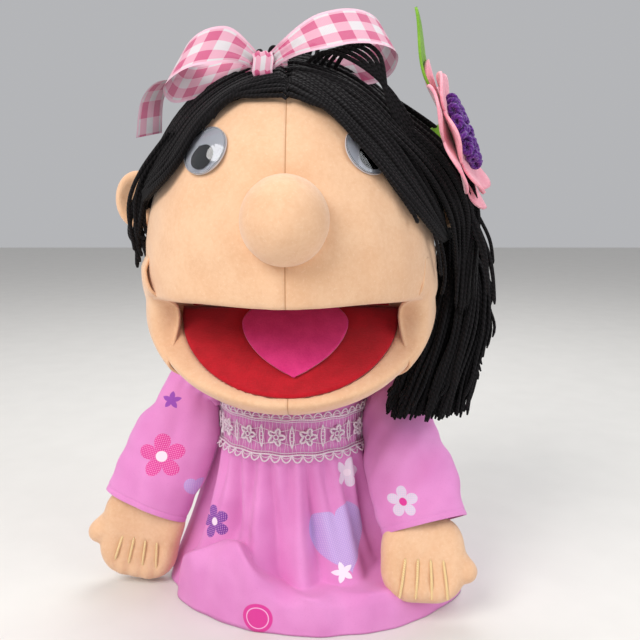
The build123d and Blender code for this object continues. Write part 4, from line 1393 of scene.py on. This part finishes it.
def arm(side, sign):
    """A cotton sleeve, from the armhole to a hemmed cuff."""
    shoulder = np.array((sign * 62.0, -3, 147))
    cuff = CUFFS[side]
    along = unit(cuff - shoulder)
    wide = unit(np.cross((0, 1, 0), along))
    thick = np.cross(along, wide)
    length = np.linalg.norm(cuff - shoulder)
    if wide[0] * sign < 0:
        wide = -wide
    if thick[1] > 0:
        thick = -thick
    up = np.array((0, 0, 1.0))
    forward = np.array((0, -1.0, 0))
    rings = [
        (np.array((sign * 50.0, -4, 141)), up * 15, forward * 13),
        (np.array((sign * 60.0, -6, 144)), (up * 0.9 + wide * 0.5) * 17, forward * 16),
        (shoulder + along * 14 + wide * 2, wide * 17 + up * 4, thick * 16),
        (shoulder + along * 32, wide * 23, thick * 18),
        (shoulder + along * 50, wide * 27, thick * 19),
        (shoulder + along * 68, wide * 29.5, thick * 18.5),
        (shoulder + along * (length - 12), wide * 29, thick * 17),
        (shoulder + along * (length - 2), wide * 28.5, thick * 16),
        (cuff + along * 3, wide * 28.5, thick * 15.5),
    ]
    rows, columns = 80, 120
    points, a, centre = limb(rings, rows, columns)
    out = unit(points - centre)
    s = np.linspace(0, 1, rows)[:, None]
    gather = np.sin(a * 15) * (1 - ramp(s, 0.05, 0.35))
    crumple = waves(points * (1, 1, 0.8), 34, 20 + sign) * 2.4
    crumple = crumple * ramp(s, 0.05, 0.3) * (1 - 0.7 * ramp(s, 0.8, 1))
    fold = 2.2 * np.sin(a * 2 + 6 * s + sign) * np.exp(-(((s - 0.45) / 0.2) ** 2))
    hem = -0.5 * np.exp(-(((s - 0.9) / 0.012) ** 2))
    points = points + out * (gather + crumple + fold + hem)[..., None]
    cotton = sleeve_cotton[side]
    piece = cloth(points, f"{side}_sleeve_cloth", None, "dress_cotton", cotton, thick=0.9, close_v=True)
    start, end = np.array((sign * 50, -3, 150)), shoulder + along * 22
    tuple(start * MM)
    tuple(end * MM)
    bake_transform(piece)
    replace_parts(piece, f"{side}_sleeve", f"{side}_arm_stuffing", f"{side}_armhole_binding")


for side, sign in SIDES:
    arm(side, sign)


for side, sign in SIDES:
    cuff = CUFFS[side]
    down = unit(FINGERTIPS[side] - cuff)
    outward = unit(np.cross((0, 1, 0), down) * -sign)
    front = np.cross(outward, -down)
    if front[1] > 0:
        front = -front

    def shape_hand(p):
        """Presses the finger lines into the mitten, and widens it into the cuff."""
        away = p - cuff
        x, d, f = away @ outward, away @ down, away @ front
        dent = sum(np.exp(-(((x - line) / 2.2) ** 2)) for line in FINGER_LINES)
        reach = ramp(d, 22, 28) * (1 - ramp(d, 50, 62)) * ramp(f, -2, 3)
        above = 1 - ramp(d, 4, 26)
        wider, higher = (0.24, 9) if sign < 0 else (0.10, 7)
        p = p + outward * (wider * x * above)[:, None] - down * (higher * above)[:, None]
        return p - front * (1.1 * dent * reach)[:, None] + (waves(p, 18, 30 + sign) * 0.4)[:, None] * front

    hand_mesh = from_cad(f"{side}_hand", 1.5, 6, shape_hand)
    hand = place(hand_mesh, f"{side}_hand_pad", f"{side}_hand", skin_plain)
    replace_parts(hand, f"{side}_hand")
    stitches = Build()
    for line in FINGER_LINES:
        d = np.linspace(24, 48, 16)
        lift = 8.9 + 0.6 * np.sin(np.linspace(0.2, pi - 0.2, 16)) - 2.2 * ramp(d, 38, 48)
        fan = line * (1 + 0.010 * (d - 36))
        path = cuff + outward * fan[:, None] + down * d[:, None] + front * lift[:, None]
        stitches.tube(path, 0.9, 6)
    piece = stitches.make(f"{side}_stitches", f"{side}_hand", "stitch_thread", stitch)
    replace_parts(piece, f"{side}_finger_stitches")

# ---- Floor, light and camera -------------------------------------------------------------------
FLOOR_HALF, FLOOR_Z = 3000, -0.2
paint = Shader("floor_paint", cad=True)
floor_material = paint.surface(paint.mix("DAD8D4", "E2E0DC", paint.noise(40, 3)), 0.7)
edge = np.linspace(-FLOOR_HALF, FLOOR_HALF, 3)
floor_x, floor_y = np.meshgrid(edge, edge)
floor_points = np.stack([floor_x, floor_y, 0 * floor_x + FLOOR_Z], -1)
cloth(floor_points, "floor", None, None, floor_material)


def area_light(name, place_mm, size_mm, power, colour):
    """A soft lamp that looks at the puppet's middle."""
    lamp = bpy.data.lights.new(name, "AREA")
    lamp.shape = "DISK"
    lamp.size = size_mm * MM
    lamp.energy = power
    lamp.color = colour
    obj = in_scene(name, lamp)
    obj.location = Vector(place_mm) * MM
    puppet_middle = Vector((0, -30, 170)) * MM
    obj.rotation_euler = (puppet_middle - obj.location).to_track_quat("-Z", "Y").to_euler()


area_light("key", (-700, -900, 1100), 900, 15.5, (1.0, 0.97, 0.94))
area_light("fill", (1000, -700, 700), 1000, 6, (0.94, 0.97, 1.0))
area_light("top", (100, 500, 1300), 900, 8, (1.0, 1.0, 1.0))

world = bpy.data.worlds.new("studio")
world.use_nodes = True
background = world.node_tree.nodes["Background"]
background.inputs["Color"].default_value = (0.88, 0.89, 0.92, 1)
background.inputs["Strength"].default_value = 0.52
bpy.context.scene.world = world
bpy.context.scene.view_settings.view_transform = "Standard"

camera_data = bpy.data.cameras.new("camera")
camera_data.lens = 41.96
camera_data.sensor_width = 36
camera = in_scene("camera", camera_data)
camera.location = Vector((18, -509, 273)) * MM
camera.rotation_euler = (radians(80), 0, 0)
bpy.context.scene.camera = camera
